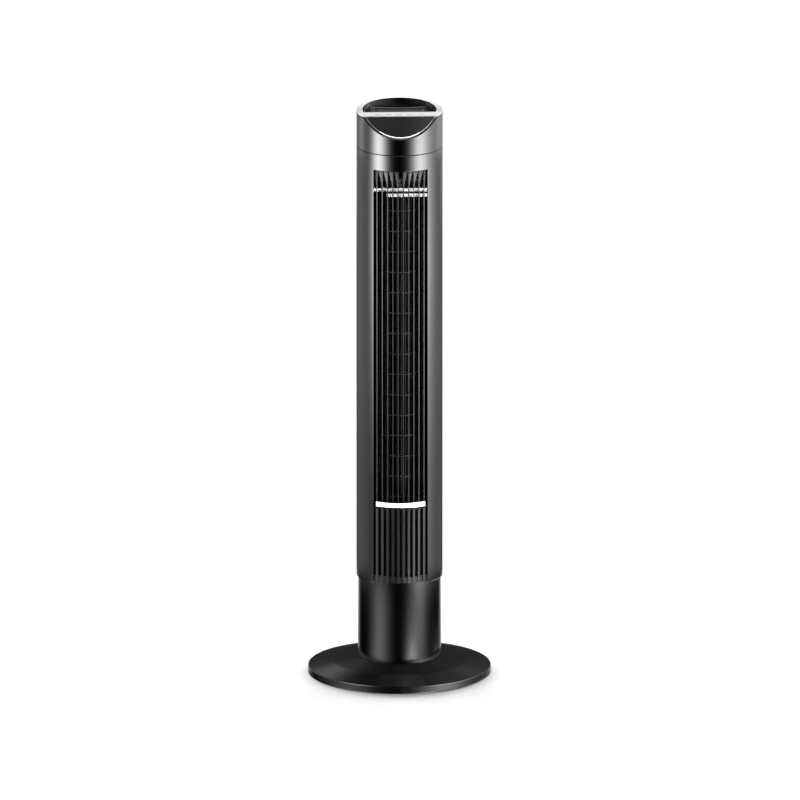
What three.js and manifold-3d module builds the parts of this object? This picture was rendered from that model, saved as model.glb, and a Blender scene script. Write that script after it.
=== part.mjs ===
// Tower fan: a tall round tower with a cross-flow impeller, which swings on a neck above a round base.
// Millimetres, +Z up. The origin is on the floor under the middle of the base, and the outlet faces -Y.

import * as THREE from 'three';
import { mergeVertices } from 'three/addons/utils/BufferGeometryUtils.js';
import Module from 'manifold-3d';

const wasm = await Module();
wasm.setup();

// Driving dimensions.
const GAP = 0.3; // clearance kept between pieces that touch
const WALL = 2.5; // moulded shell wall

const BASE_RADIUS = 160;
const BASE_BOTTOM = 1.2;
const BASE_WALL = 3;
const BASE_PLATE_THICKNESS = 3;
const BASE_RIM_TOP = 13.5;
const BASE_CROWN_TOP = 32;
const BASE_SEAT_TOP = 30; // step that the neck stands on
const BASE_SEAT_RADIUS = 73.3;
const FOOT_COUNT = 6;
const FOOT_RADIUS = 9;
const FOOT_CIRCLE = 142;

const NECK_RADIUS_BOTTOM = 72.8;
const NECK_RADIUS_TOP = 71.9;
const NECK_WALL = 3;
const NECK_TOP = 183;
const NECK_SCREW_COUNT = 4;
const NECK_SCREW_CIRCLE = 52;
const NECK_SCREW_BORE = 2.8;

const BODY_RADIUS = 75;
const BODY_INNER = BODY_RADIUS - WALL;
const BODY_BOTTOM = 175;
const HEAD_SEAM = 944;
const HEAD_TOP = 1002.7;
const OVERALL_TOP = 1014;

const WINDOW_HALF_WIDTH = 47.4;
const WINDOW_TOP = 915;
const SLAT_COUNT = 10;
const SLAT_PITCH = 9.1;
const SLAT_THICKNESS = 1.9;
const SLAT_DEPTH = 8;
const SLAT_BOTTOM = 311;
const FLARE_BOTTOM = 887;
const RIB_WIDTH = 5.2;
const RIB_DEPTH = 8.5;
const RIB_BOTTOM = 177;
const GRILLE_RADIUS = BODY_INNER - GAP;
const BAND_BOTTOM = 312;
const BAND_HEIGHT = 10;
const BAND_HALF_WIDTH = 43.5;
const BAR_FRONT_Y = -54.5; // the bright bars run straight behind the slats and through the outermost ones
const BAR_BACK_Y = -52.7;
const BAR_HEIGHT = 6;
const BAR_END_X = 46.3;
const BARS = {
  chrome_bar_upper: { bottom: 874.8, start: -BAR_END_X },
  chrome_bar_lower: { bottom: 865, start: -24 },
};

const IMPELLER_RADIUS = 42;
const IMPELLER_BOTTOM = 323;
const IMPELLER_TOP = 874;
const BLADE_COUNT = 10;
const DISC_COUNT = 6;
const DISC_THICKNESS = 3;

const TURNTABLE_BOTTOM = NECK_TOP + 2 * GAP;
const TURNTABLE_THICKNESS = 4;
const PIVOT_PLATE_BOTTOM = 172;
const PIVOT_PLATE_TOP = 175.5;
const POST_RADIUS = 11;
const GEAR_MODULE = 1;
const RING_TEETH = 56;
const PINION_TEETH = 14;
const GEAR_CENTRES = (GEAR_MODULE * (RING_TEETH + PINION_TEETH)) / 2;

const MOTOR_DECK_BOTTOM = 296;
const TOP_DECK_BOTTOM = 892;
const DECK_THICKNESS = 4;

const SLOPE_TOP_Y = -37.5; // the sloping display face starts here on the flat top
const SLOPE_BOTTOM_Z = 973; // and reaches the front of the head here
const TRAY_EDGE_Y = -12;
const TRAY_RADIUS = 64;
const BEZEL_BOTTOM = HEAD_TOP + GAP;
const BEZEL_TOP = 1006.2;
const RIM_RISE = 4.6; // the top edge of the head rises by this much at both sides, behind the buttons
const RIM_RISE_START = -20;
const RIM_RISE_END = 12;
const BUTTON_NAMES = ['power', 'speed', 'mode', 'swing', 'timer'];
const BUTTON_PITCH = 18.8;
const BUTTON_LENGTH = 11;
const BUTTON_WIDTH = 8;
const BUTTON_ROW_Y = (SLOPE_TOP_Y + TRAY_EDGE_Y) / 2;
const WELL_HALF_WIDTH = 46.5;
const WELL_REAR_Y = 30;
const WELL_FLOOR = 986;

const SHELL_SCREW_X = 66;
const SHELL_SCREW_HEIGHTS = [202, 925];

const FINE = 48; // facets round a large circle
const MEDIUM = 24;
const SMALL = 10;

// Finishes: colour, roughness and metalness of each kind of material.
const FINISHES = {
  blackGloss: { color: 0x121214, roughness: 0.22, metalness: 0 },
  blackMatte: { color: 0x1a1a1c, roughness: 0.55, metalness: 0 },
  innerMatte: { color: 0x101011, roughness: 0.7, metalness: 0 },
  silver: { color: 0xc9cbce, roughness: 0.3, metalness: 0.8 },
  chrome: { color: 0xe6e8ea, roughness: 0.08, metalness: 1 },
  display: { color: 0x18191b, roughness: 0.12, metalness: 0 },
  steel: { color: 0x8d9094, roughness: 0.35, metalness: 1 },
  castIron: { color: 0x3a3b3d, roughness: 0.8, metalness: 0.6 },
  rubber: { color: 0x151515, roughness: 0.9, metalness: 0 },
  nylon: { color: 0xe9e7df, roughness: 0.5, metalness: 0 },
  circuitBoard: { color: 0x1d5a36, roughness: 0.5, metalness: 0 },
};

// ---- Shape helpers ----

function solidOf(geometry) {
  const plain = geometry.clone();
  plain.deleteAttribute('normal');
  plain.deleteAttribute('uv');
  const merged = mergeVertices(plain, 1e-4);
  const vertProperties = new Float32Array(merged.attributes.position.array);
  const triVerts = new Uint32Array(merged.index.array);
  return new wasm.Manifold(new wasm.Mesh({ numProp: 3, vertProperties, triVerts }));
}

function geometryOf(solid) {
  const mesh = solid.getMesh();
  const geometry = new THREE.BufferGeometry();
  geometry.setAttribute('position', new THREE.BufferAttribute(mesh.vertProperties, 3));
  geometry.setIndex(new THREE.BufferAttribute(mesh.triVerts, 1));
  geometry.computeVertexNormals();
  return geometry;
}

// A solid of revolution about Z from an outline of [radius, z] points.
// An outline that does not start and end on the axis is closed back to its first point.
function turned(profile, segments = FINE) {
  const onAxis = profile[0][0] === 0 && profile[profile.length - 1][0] === 0;
  const points = profile.map(([radius, z]) => new THREE.Vector2(radius, z));
  if (!onAxis) {
    points.push(points[0].clone());
  }
  const geometry = new THREE.LatheGeometry(points, segments);
  geometry.rotateX(Math.PI / 2);
  const solid = solidOf(geometry);
  return solid.volume() < 0 ? solidOf(flipped(geometry)) : solid;
}

function flipped(geometry) {
  const turnedOver = geometry.clone();
  const index = turnedOver.index.array;
  for (let i = 0; i < index.length; i += 3) {
    [index[i], index[i + 1]] = [index[i + 1], index[i]];
  }
  return turnedOver;
}

// A ring (or a disc when inner is 0) between two heights.
function ring(inner, outer, bottom, top, segments = FINE) {
  return turned([[inner, bottom], [outer, bottom], [outer, top], [inner, top]], segments);
}

function disc(radius, bottom, top, segments = FINE) {
  return turned([[0, bottom], [radius, bottom], [radius, top], [0, top]], segments);
}

function box(x0, x1, y0, y1, z0, z1) {
  const geometry = new THREE.BoxGeometry(x1 - x0, y1 - y0, z1 - z0);
  geometry.translate((x0 + x1) / 2, (y0 + y1) / 2, (z0 + z1) / 2);
  return solidOf(geometry);
}

// An outline in X and Y, extruded from bottom to top.
function prism(points, bottom, top) {
  const shape = new THREE.Shape(points.map(([x, y]) => new THREE.Vector2(x, y)));
  return extruded(shape, bottom, top);
}

function extruded(shape, bottom, top, curveSegments = 3) {
  const depth = top - bottom;
  const geometry = new THREE.ExtrudeGeometry(shape, { depth, bevelEnabled: false, curveSegments });
  geometry.translate(0, 0, bottom);
  return solidOf(geometry);
}

function roundedOutline(centreX, centreY, length, width, radius) {
  const shape = new THREE.Shape();
  const x = length / 2 - radius;
  const y = width / 2 - radius;
  const corners = [[x, y, 0], [-x, y, Math.PI / 2], [-x, -y, Math.PI], [x, -y, -Math.PI / 2]];
  for (const [cornerX, cornerY, start] of corners) {
    shape.absarc(centreX + cornerX, centreY + cornerY, radius, start, start + Math.PI / 2, false);
  }
  return shape;
}

// A turned solid laid along +Y: its z becomes y, and it stands at x and height.
function alongY(solid, x, height) {
  return solid.rotate([-90, 0, 0]).translate([x, 0, height]);
}

function joined(solids) {
  return solids.reduce((sum, solid) => sum.add(solid));
}

function cutBy(solid, tools) {
  return tools.reduce((rest, tool) => rest.subtract(tool), solid);
}

function polar(radius, degrees) {
  const angle = THREE.MathUtils.degToRad(degrees);
  return [radius * Math.sin(angle), -radius * Math.cos(angle)];
}

function evenly(count, make) {
  return Array.from({ length: count }, (_, i) => make(i));
}

const fan = new THREE.Group();
const standGroup = new THREE.Group();
const towerGroup = new THREE.Group();
const rotorGroup = new THREE.Group();
fan.add(standGroup, towerGroup, rotorGroup);

function addPiece(group, name, solid, finish) {
  const mesh = new THREE.Mesh(geometryOf(solid), new THREE.MeshStandardMaterial(FINISHES[finish]));
  mesh.name = name;
  group.add(mesh);
  return mesh;
}

// ---- Base ----

// The screws that hold the neck come up through the base inside this circle.
const neckScrewPlaces = evenly(NECK_SCREW_COUNT, (i) => (
  polar(NECK_SCREW_CIRCLE, 45 + (360 / NECK_SCREW_COUNT) * i)
));

function atPlaces(places, make) {
  return places.map(([x, y]) => make().translate([x, y, 0]));
}

const GLAND_RADIUS = 4;
const GLAND_HEIGHT = 7.5;

function baseCover() {
  const thick = BASE_WALL;
  const bevel = 1.5;
  const openCentre = 30;
  const shell = turned([
    [BASE_RADIUS - thick, BASE_BOTTOM], [BASE_RADIUS - bevel, BASE_BOTTOM],
    [BASE_RADIUS, BASE_BOTTOM + bevel], [BASE_RADIUS, BASE_RIM_TOP - bevel],
    [BASE_RADIUS - bevel, BASE_RIM_TOP], [BASE_SEAT_RADIUS, BASE_CROWN_TOP],
    [BASE_SEAT_RADIUS, BASE_SEAT_TOP], [openCentre, BASE_SEAT_TOP], [openCentre, BASE_SEAT_TOP - thick],
    [BASE_SEAT_RADIUS, BASE_SEAT_TOP - thick], [BASE_RADIUS - thick, BASE_RIM_TOP - thick],
  ]);
  const screwHoles = atPlaces(neckScrewPlaces, () => disc(NECK_SCREW_BORE, 20, 40, SMALL));
  // A flat at the back of the rim, with the hole of the grommet.
  const glandFlat = box(-9, 9, BASE_RADIUS - 2.2, BASE_RADIUS + 10, 0, BASE_RIM_TOP + 0.5);
  const glandHole = alongY(disc(GLAND_RADIUS + GAP, 150, 170, SMALL), 0, GLAND_HEIGHT);
  return cutBy(shell, [...screwHoles, glandFlat, glandHole]);
}
addPiece(standGroup, 'base_cover', baseCover(), 'blackGloss');

const footPlaces = evenly(FOOT_COUNT, (i) => polar(FOOT_CIRCLE, (360 / FOOT_COUNT) * (i + 0.5)));
const FOOT_RECESS_TOP = BASE_BOTTOM + 1.5;

function basePlate() {
  const plate = disc(BASE_RADIUS - BASE_WALL - GAP, BASE_BOTTOM, BASE_BOTTOM + BASE_PLATE_THICKNESS);
  const recesses = atPlaces(footPlaces, () => disc(FOOT_RADIUS + GAP, 0, FOOT_RECESS_TOP, MEDIUM));
  const driverHoleRadius = 7;
  const screwAccess = atPlaces(neckScrewPlaces, () => disc(driverHoleRadius, 0, 10, SMALL));
  const leadNotch = box(-6, 6, 148, 170, 0, 10);
  return cutBy(plate, [...recesses, ...screwAccess, leadNotch]);
}
addPiece(standGroup, 'base_plate', basePlate(), 'blackMatte');

const BALLAST = { inner: 66, outer: 126, top: 14 };
const ballastBottom = BASE_BOTTOM + BASE_PLATE_THICKNESS + GAP;
const baseWeight = ring(BALLAST.inner, BALLAST.outer, ballastBottom, BALLAST.top);
addPiece(standGroup, 'base_weight', baseWeight, 'castIron');

footPlaces.forEach(([x, y], i) => {
  const edge = 0.8;
  const profile = [
    [0, 0], [FOOT_RADIUS - edge, 0], [FOOT_RADIUS, edge],
    [FOOT_RADIUS, FOOT_RECESS_TOP - GAP], [0, FOOT_RECESS_TOP - GAP],
  ];
  addPiece(standGroup, `foot_${i + 1}`, turned(profile, 24).translate([x, y, 0]), 'rubber');
});

// Rubber grommet that the mains lead leaves by, in a flat at the back of the rim.
function cordGland() {
  const leadRadius = 2.6;
  const lipStart = BASE_RADIUS - 1.9;
  const bush = turned([
    [leadRadius, 150], [GLAND_RADIUS, 150], [GLAND_RADIUS, lipStart], [GLAND_RADIUS + 1, lipStart],
    [GLAND_RADIUS + 1, BASE_RADIUS], [leadRadius, BASE_RADIUS],
  ], SMALL);
  return alongY(bush, 0, GLAND_HEIGHT);
}
addPiece(standGroup, 'cord_gland', cordGland(), 'rubber');

// ---- Neck ----

const NECK_BOTTOM = BASE_SEAT_TOP + GAP;
const LEDGE_TOP = PIVOT_PLATE_BOTTOM - GAP;

function neckColumn() {
  const thick = NECK_WALL;
  const flange = 4;
  const ledge = 4;
  const ledgeRadius = 62;
  const openCentre = 20;
  const tube = turned([
    [openCentre, NECK_BOTTOM], [NECK_RADIUS_BOTTOM, NECK_BOTTOM], [NECK_RADIUS_TOP, NECK_TOP],
    [NECK_RADIUS_TOP - thick, NECK_TOP], [NECK_RADIUS_TOP - thick, LEDGE_TOP], [ledgeRadius, LEDGE_TOP],
    [ledgeRadius, LEDGE_TOP - ledge], [NECK_RADIUS_TOP - thick, LEDGE_TOP - 2 * ledge],
    [NECK_RADIUS_BOTTOM - thick, NECK_BOTTOM + flange], [openCentre, NECK_BOTTOM + flange],
  ]);
  const bosses = atPlaces(neckScrewPlaces, () => disc(6, NECK_BOTTOM + 1, 46, SMALL));
  const bores = atPlaces(neckScrewPlaces, () => disc(NECK_SCREW_BORE, 20, 44, SMALL));
  return cutBy(joined([tube, ...bosses]), bores);
}
addPiece(standGroup, 'neck_column', neckColumn(), 'blackGloss');

neckScrewPlaces.forEach(([x, y], i) => {
  const seat = BASE_SEAT_TOP - BASE_WALL - GAP;
  const headBottom = seat - 3.5;
  const headRadius = 4.6;
  const shank = NECK_SCREW_BORE - GAP;
  const screw = turned([
    [0, headBottom], [headRadius, headBottom], [headRadius, seat - 0.8], [headRadius - 1.2, seat],
    [shank, seat], [shank, 42], [0, 43],
  ], SMALL);
  addPiece(standGroup, `neck_screw_${i + 1}`, screw.translate([x, y, 0]), 'steel');
});

// ---- Oscillation bearing, on top of the neck ----

const pivotPlateRadius = NECK_RADIUS_TOP - NECK_WALL - GAP;
const pivotPlate = ring(POST_RADIUS + GAP, pivotPlateRadius, PIVOT_PLATE_BOTTOM, PIVOT_PLATE_TOP);
addPiece(standGroup, 'pivot_plate', pivotPlate, 'steel');

const RING_GEAR_BOTTOM = PIVOT_PLATE_TOP + GAP;
const RING_GEAR_TOP = TURNTABLE_BOTTOM - 0.8;
const POST_TOP = 202;
const POST_BORE = 8;

// The hollow post that the tower turns on; the wires pass up through it.
function pivotPost() {
  const flangeTop = PIVOT_PLATE_BOTTOM - GAP;
  return turned([
    [POST_BORE, 164], [18, flangeTop - 4], [18, flangeTop], [POST_RADIUS, flangeTop],
    [POST_RADIUS, POST_TOP], [POST_BORE, POST_TOP],
  ], MEDIUM);
}
addPiece(standGroup, 'pivot_post', pivotPost(), 'steel');

function gearOutline(teeth, pitchRadius, phase) {
  const tip = pitchRadius + GEAR_MODULE * 0.9;
  const root = pitchRadius - GEAR_MODULE * 1.2;
  const step = (2 * Math.PI) / teeth;
  const points = [];
  for (let tooth = 0; tooth < teeth; tooth += 1) {
    const corners = [[root, -0.3], [tip, -0.12], [tip, 0.12], [root, 0.3]];
    for (const [radius, offset] of corners) {
      const angle = (tooth + offset + phase) * step;
      points.push([radius * Math.cos(angle), radius * Math.sin(angle)]);
    }
  }
  return points;
}

function ringGear() {
  const pitchRadius = (GEAR_MODULE * RING_TEETH) / 2;
  const outline = gearOutline(RING_TEETH, pitchRadius, 0);
  return prism(outline, RING_GEAR_BOTTOM, RING_GEAR_TOP).subtract(disc(19, 170, 190, MEDIUM));
}
addPiece(standGroup, 'ring_gear', ringGear(), 'nylon');

addPiece(standGroup, 'slide_ring', ring(54, 61, RING_GEAR_BOTTOM, TURNTABLE_BOTTOM - GAP), 'nylon');

// The nut that holds the tower down on the post.
function pivotNut() {
  const outline = evenly(6, (i) => polar(19, 60 * i));
  const bottom = 195.6;
  return prism(outline, bottom, bottom + 5).subtract(disc(POST_RADIUS + GAP, 190, 210, MEDIUM));
}
addPiece(standGroup, 'pivot_nut', pivotNut(), 'steel');

// ---- Tower: turntable and the motor that swings it ----

const TURNTABLE_TOP = TURNTABLE_BOTTOM + TURNTABLE_THICKNESS;
const PINION_SHAFT = 3;

function turntable() {
  const plate = ring(POST_RADIUS + 0.5, GRILLE_RADIUS, TURNTABLE_BOTTOM, TURNTABLE_TOP);
  const hub = ring(POST_RADIUS + 0.5, 17, TURNTABLE_BOTTOM, 195.2, MEDIUM);
  const shaftHole = disc(PINION_SHAFT + 1, 180, 190, SMALL).translate([0, GEAR_CENTRES, 0]);
  return joined([plate, hub]).subtract(shaftHole);
}
addPiece(towerGroup, 'turntable', turntable(), 'blackMatte');

// Synchronous gear motor, with its shaft off centre, and the ears it is screwed down by.
function oscillationMotor() {
  const bottom = TURNTABLE_TOP + GAP;
  const can = disc(23, bottom, bottom + 16, MEDIUM).translate([0, 44, 0]);
  const ear = disc(5, bottom, bottom + 2, SMALL);
  const ears = joined([-27, 27].map((x) => ear.translate([x, 44, 0])));
  const bar = box(-27, 27, 40, 48, bottom, bottom + 2);
  const shaftBore = disc(PINION_SHAFT + GAP, 180, bottom + 12, SMALL).translate([0, GEAR_CENTRES, 0]);
  return joined([can, ears, bar]).subtract(shaftBore);
}
addPiece(towerGroup, 'oscillation_motor', oscillationMotor(), 'steel');

// The pinion is in mesh with the fixed ring gear at rest: a tooth of the ring points at a gap of the pinion.
function oscillationPinion() {
  const pitchRadius = (GEAR_MODULE * PINION_TEETH) / 2;
  const outline = gearOutline(PINION_TEETH, pitchRadius, 0);
  const gear = prism(outline, RING_GEAR_BOTTOM + 0.4, RING_GEAR_TOP).translate([0, GEAR_CENTRES, 0]);
  const shaft = disc(PINION_SHAFT, RING_GEAR_TOP - 2, 198, SMALL).translate([0, GEAR_CENTRES, 0]);
  return joined([gear, shaft]);
}
addPiece(towerGroup, 'oscillation_pinion', oscillationPinion(), 'nylon');

// ---- Tower: decks that close the air duct, the fan motor and the top bearing ----

const LOOM_PLACE = polar(66, -60);
const LOOM_RADIUS = 2.5;

function deck(bottom, hole) {
  const plate = ring(hole, GRILLE_RADIUS, bottom, bottom + DECK_THICKNESS);
  const loomHole = disc(LOOM_RADIUS + 0.6, bottom - 5, bottom + 10, SMALL).translate([...LOOM_PLACE, 0]);
  const front = box(-WINDOW_HALF_WIDTH - 2, WINDOW_HALF_WIDTH + 2, -80, -45, bottom - 1, bottom + 10);
  return cutBy(plate, [loomHole, front]);
}
addPiece(towerGroup, 'motor_deck', deck(MOTOR_DECK_BOTTOM, 20), 'innerMatte');
addPiece(towerGroup, 'top_deck', deck(TOP_DECK_BOTTOM, 9.3), 'innerMatte');

const SHAFT_RADIUS = 4;
const MOTOR_BOTTOM = 224;

function fanMotor() {
  const top = MOTOR_DECK_BOTTOM - GAP;
  return turned([
    [0, MOTOR_BOTTOM], [14, MOTOR_BOTTOM], [16, MOTOR_BOTTOM + 8], [38, MOTOR_BOTTOM + 14],
    [38, top - 12], [34, top - 6], [34, top], [SHAFT_RADIUS + GAP, top], [SHAFT_RADIUS + GAP, 240], [0, 240],
  ], MEDIUM);
}
addPiece(towerGroup, 'fan_motor', fanMotor(), 'steel');

function topBearing() {
  const deckTop = TOP_DECK_BOTTOM + DECK_THICKNESS;
  const flangeTop = TOP_DECK_BOTTOM - GAP;
  return turned([
    [3.35, 885], [13, 885], [13, flangeTop], [9, flangeTop], [9, deckTop + 2], [3.35, deckTop + 2],
  ], MEDIUM);
}
addPiece(towerGroup, 'top_bearing', topBearing(), 'rubber');

// ---- Rotor: motor shaft, rubber hub, cross-flow impeller and its top pin ----

addPiece(rotorGroup, 'motor_shaft', disc(SHAFT_RADIUS, 241, 318, SMALL), 'steel');

function impellerHub() {
  const top = IMPELLER_BOTTOM - GAP;
  const bottom = 304;
  const bore = SHAFT_RADIUS + GAP;
  const boreTop = 319;
  const outer = 13;
  return turned([
    [0, boreTop], [bore, boreTop], [bore, bottom], [outer - 2, bottom], [outer, bottom + 4],
    [outer, top], [0, top],
  ], MEDIUM);
}
addPiece(rotorGroup, 'impeller_hub', impellerHub(), 'rubber');

function impeller() {
  const step = (IMPELLER_TOP - IMPELLER_BOTTOM - DISC_THICKNESS) / (DISC_COUNT - 1);
  const discs = evenly(DISC_COUNT, (i) => {
    const bottom = IMPELLER_BOTTOM + step * i;
    const bore = i === 0 || i === DISC_COUNT - 1 ? 0 : 28;
    return bore ? ring(bore, IMPELLER_RADIUS, bottom, bottom + DISC_THICKNESS, 24)
      : disc(IMPELLER_RADIUS, bottom, bottom + DISC_THICKNESS, 24);
  });
  const blade = prism([[31, -3.6], [36, -0.4], [40.6, 0.4], [40.2, 1.8], [35.4, 1], [30.2, -2.2]],
    IMPELLER_BOTTOM + 1, IMPELLER_TOP - 1);
  const blades = evenly(BLADE_COUNT, (i) => blade.rotate([0, 0, (360 / BLADE_COUNT) * i + 7]));
  return joined([...discs, ...blades]);
}
addPiece(rotorGroup, 'impeller', impeller(), 'blackMatte');

const PIN_BOTTOM = IMPELLER_TOP + GAP;
const PIN_TOP = 894;
const PIN_RADIUS = 3;
const impellerPin = turned([
  [0, PIN_BOTTOM], [9, PIN_BOTTOM], [9, PIN_BOTTOM + 2], [PIN_RADIUS, PIN_BOTTOM + 3],
  [PIN_RADIUS, PIN_TOP], [0, PIN_TOP],
], SMALL);
addPiece(rotorGroup, 'impeller_pin', impellerPin, 'steel');

// ---- Tower: air duct ----

// A sheet that stands between the decks, along a curve given by [radius, degrees from the front].
function ductSheet(path, thickness) {
  const outer = path.map(([radius, degrees]) => polar(radius + thickness, degrees));
  const inner = path.map(([radius, degrees]) => polar(radius, degrees)).reverse();
  return prism([...outer, ...inner], MOTOR_DECK_BOTTOM + DECK_THICKNESS + GAP, TOP_DECK_BOTTOM - GAP);
}

function ductScroll() {
  const steps = 18;
  const path = evenly(steps + 1, (i) => [62 - (16 * i) / steps, -50 - (100 * i) / steps]);
  return ductSheet(path, 1.8);
}
addPiece(towerGroup, 'duct_scroll', ductScroll(), 'innerMatte');

function ductTongue() {
  const path = evenly(9, (i) => [46 + 16 * Math.abs(1 - i / 4) ** 1.5, 50 + 5 * i]);
  return ductSheet(path, 1.8);
}
addPiece(towerGroup, 'duct_tongue', ductTongue(), 'innerMatte');

// ---- Tower: outer shells ----

const SEAM_GAP = 0.6;

function tube(bottom, top) {
  const edge = 2.5;
  return turned([
    [BODY_INNER, bottom], [BODY_RADIUS - edge * 0.6, bottom], [BODY_RADIUS, bottom + edge],
    [BODY_RADIUS, top], [BODY_INNER, top],
  ]);
}

// Screw posts: a screw goes in from the back, through the rear shell, into a post of the front shell.
const SCREW_HEAD_Y = 14;
const SCREW_END_Y = -14;

function postsAt(make) {
  return SHELL_SCREW_HEIGHTS.flatMap((height) => [-1, 1].map((side) => make(side * SHELL_SCREW_X, height)));
}

function frontShell() {
  const shell = tube(BODY_BOTTOM, HEAD_SEAM - SEAM_GAP / 2);
  const halves = shell.subtract(box(-90, 90, -GAP / 2, 90, 100, 1100));
  const window = box(-WINDOW_HALF_WIDTH, WINDOW_HALF_WIDTH, -90, -40, 100, WINDOW_TOP);
  const posts = postsAt((x, height) => alongY(disc(5, -28, -GAP, SMALL), x, height));
  const inside = disc(BODY_RADIUS - 1, 100, 1100);
  const bores = postsAt((x, height) => alongY(disc(1.8, -18, 5, SMALL), x, height));
  return cutBy(joined([halves.subtract(window), ...posts.map((post) => post.intersect(inside))]), bores);
}
addPiece(towerGroup, 'front_shell', frontShell(), 'blackGloss');

// The rear shell has rows of upright intake slots.
const SLOT_ROWS = 5;
const SLOT_COLUMNS = 8;
const SLOT_LENGTH = 98;
const SLOT_WIDTH = 5;
const SLOT_FIRST = 330;
const SLOT_ROW_PITCH = 110;
const SLOT_SPREAD = 13;

function rearShell() {
  const shell = tube(BODY_BOTTOM, HEAD_SEAM - SEAM_GAP / 2);
  const half = shell.subtract(box(-90, 90, -90, GAP / 2, 100, 1100));
  const inside = disc(BODY_RADIUS - 0.5, 100, 1100);
  const posts = postsAt((x, height) => alongY(disc(6, GAP / 2, 36, SMALL), x, height).intersect(inside));
  const wells = postsAt((x, height) => alongY(disc(4, SCREW_HEAD_Y, 60, SMALL), x, height));
  const bores = postsAt((x, height) => alongY(disc(1.8, -5, 30, SMALL), x, height));
  const slots = [];
  for (let row = 0; row < SLOT_ROWS; row += 1) {
    for (let column = 0; column < SLOT_COLUMNS; column += 1) {
      const bottom = SLOT_FIRST + SLOT_ROW_PITCH * row;
      const turn = SLOT_SPREAD * (column - (SLOT_COLUMNS - 1) / 2);
      const slot = box(-SLOT_WIDTH / 2, SLOT_WIDTH / 2, 60, 90, bottom, bottom + SLOT_LENGTH);
      slots.push(slot.rotate([0, 0, turn]));
    }
  }
  return cutBy(joined([half, ...posts]), [...wells, ...bores, joined(slots)]);
}
addPiece(towerGroup, 'rear_shell', rearShell(), 'blackGloss');

postsAt((x, height) => [x, height]).forEach(([x, height], i) => {
  const head = SCREW_HEAD_Y + GAP;
  const shank = 1.5;
  const headRadius = 3.6;
  const screw = turned([
    [0, SCREW_END_Y], [shank, SCREW_END_Y + 2], [shank, head], [headRadius, head],
    [headRadius, head + 2], [0, head + 2.6],
  ], SMALL);
  addPiece(towerGroup, `shell_screw_${i + 1}`, alongY(screw, x, height), 'steel');
});

// ---- Tower: outlet grille and its bright trim ----

const slatPlaces = evenly(SLAT_COUNT, (i) => SLAT_PITCH * (i - (SLAT_COUNT - 1) / 2));
const GRILLE_HALF_WIDTH = WINDOW_HALF_WIDTH - GAP;
const GRILLE_BACK = 66;

function frontOf(x, radius) {
  return -Math.sqrt(radius * radius - x * x);
}

function archedPlate(inner, outer, halfWidth, bottom, top) {
  return ring(inner, outer, bottom, top).intersect(box(-halfWidth, halfWidth, -90, 0, bottom, top));
}

function outletGrille() {
  const half = SLAT_THICKNESS / 2;
  const slats = slatPlaces.map((x) => {
    const front = frontOf(Math.abs(x) + half, GRILLE_RADIUS);
    return box(x - half, x + half, front, front + SLAT_DEPTH, SLAT_BOTTOM - 1, WINDOW_TOP + 1);
  });
  const flares = slatPlaces.map((x) => {
    const outward = Math.sign(x);
    const start = x + outward * (half - 0.2);
    const end = x + outward * (SLAT_PITCH - half + 0.2);
    const top = WINDOW_TOP + 1;
    const outline = [[start, FLARE_BOTTOM], [start, top], [end, top]];
    const ordered = outward > 0 ? outline.reverse() : outline;
    return prism(ordered, -80, 80).rotate([90, 0, 0]);
  });
  const flareHalf = GRILLE_HALF_WIDTH - 0.1;
  const flareSkin = archedPlate(GRILLE_RADIUS - 3, GRILLE_RADIUS, flareHalf, FLARE_BOTTOM, WINDOW_TOP + 1);
  const header = archedPlate(GRILLE_BACK, GRILLE_RADIUS, GRILLE_HALF_WIDTH, WINDOW_TOP, WINDOW_TOP + 4);
  const sill = archedPlate(GRILLE_BACK, GRILLE_RADIUS, GRILLE_HALF_WIDTH, SLAT_BOTTOM - 3, SLAT_BOTTOM + 3);
  const panelBottom = TURNTABLE_TOP + GAP;
  const foot = archedPlate(GRILLE_BACK, GRILLE_RADIUS, GRILLE_HALF_WIDTH, panelBottom, TURNTABLE_TOP + 4);
  const backing = archedPlate(GRILLE_BACK, GRILLE_BACK + 2, GRILLE_HALF_WIDTH, panelBottom, SLAT_BOTTOM);
  const clearOfNeck = ring(BODY_INNER, BODY_RADIUS, RIB_BOTTOM, TURNTABLE_TOP + 1);
  const ribs = slatPlaces.map((x) => {
    const front = frontOf(Math.abs(x) + RIB_WIDTH / 2, BODY_RADIUS - 0.7);
    const [left, right, back] = [x - RIB_WIDTH / 2, x + RIB_WIDTH / 2, front + RIB_DEPTH];
    const upper = box(left, right, front, back, panelBottom, SLAT_BOTTOM - 1);
    const apron = box(left, right, front, back, RIB_BOTTOM, TURNTABLE_TOP + 1);
    return upper.add(apron.intersect(clearOfNeck));
  });
  const barHoles = Object.values(BARS).map(({ bottom, start }) => box(
    start - GAP, BAR_END_X + GAP, BAR_FRONT_Y - GAP, BAR_BACK_Y + GAP, bottom - GAP, bottom + BAR_HEIGHT + GAP,
  ));
  const flaredTops = joined(flares).intersect(flareSkin);
  return cutBy(joined([...slats, flaredTops, header, sill, foot, backing, ...ribs]), barHoles);
}
addPiece(towerGroup, 'outlet_grille', outletGrille(), 'blackMatte');

const BAND_RADIUS = BODY_RADIUS - 0.4;
const BAND_TOP = BAND_BOTTOM + BAND_HEIGHT;
const chromeBand = archedPlate(GRILLE_RADIUS + GAP, BAND_RADIUS, BAND_HALF_WIDTH, BAND_BOTTOM, BAND_TOP);
addPiece(towerGroup, 'chrome_band', chromeBand, 'chrome');

for (const [name, { bottom, start }] of Object.entries(BARS)) {
  const bar = box(start, BAR_END_X, BAR_FRONT_Y, BAR_BACK_Y, bottom, bottom + BAR_HEIGHT);
  addPiece(towerGroup, name, bar, 'chrome');
}

// ---- Tower: head ----

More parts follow.
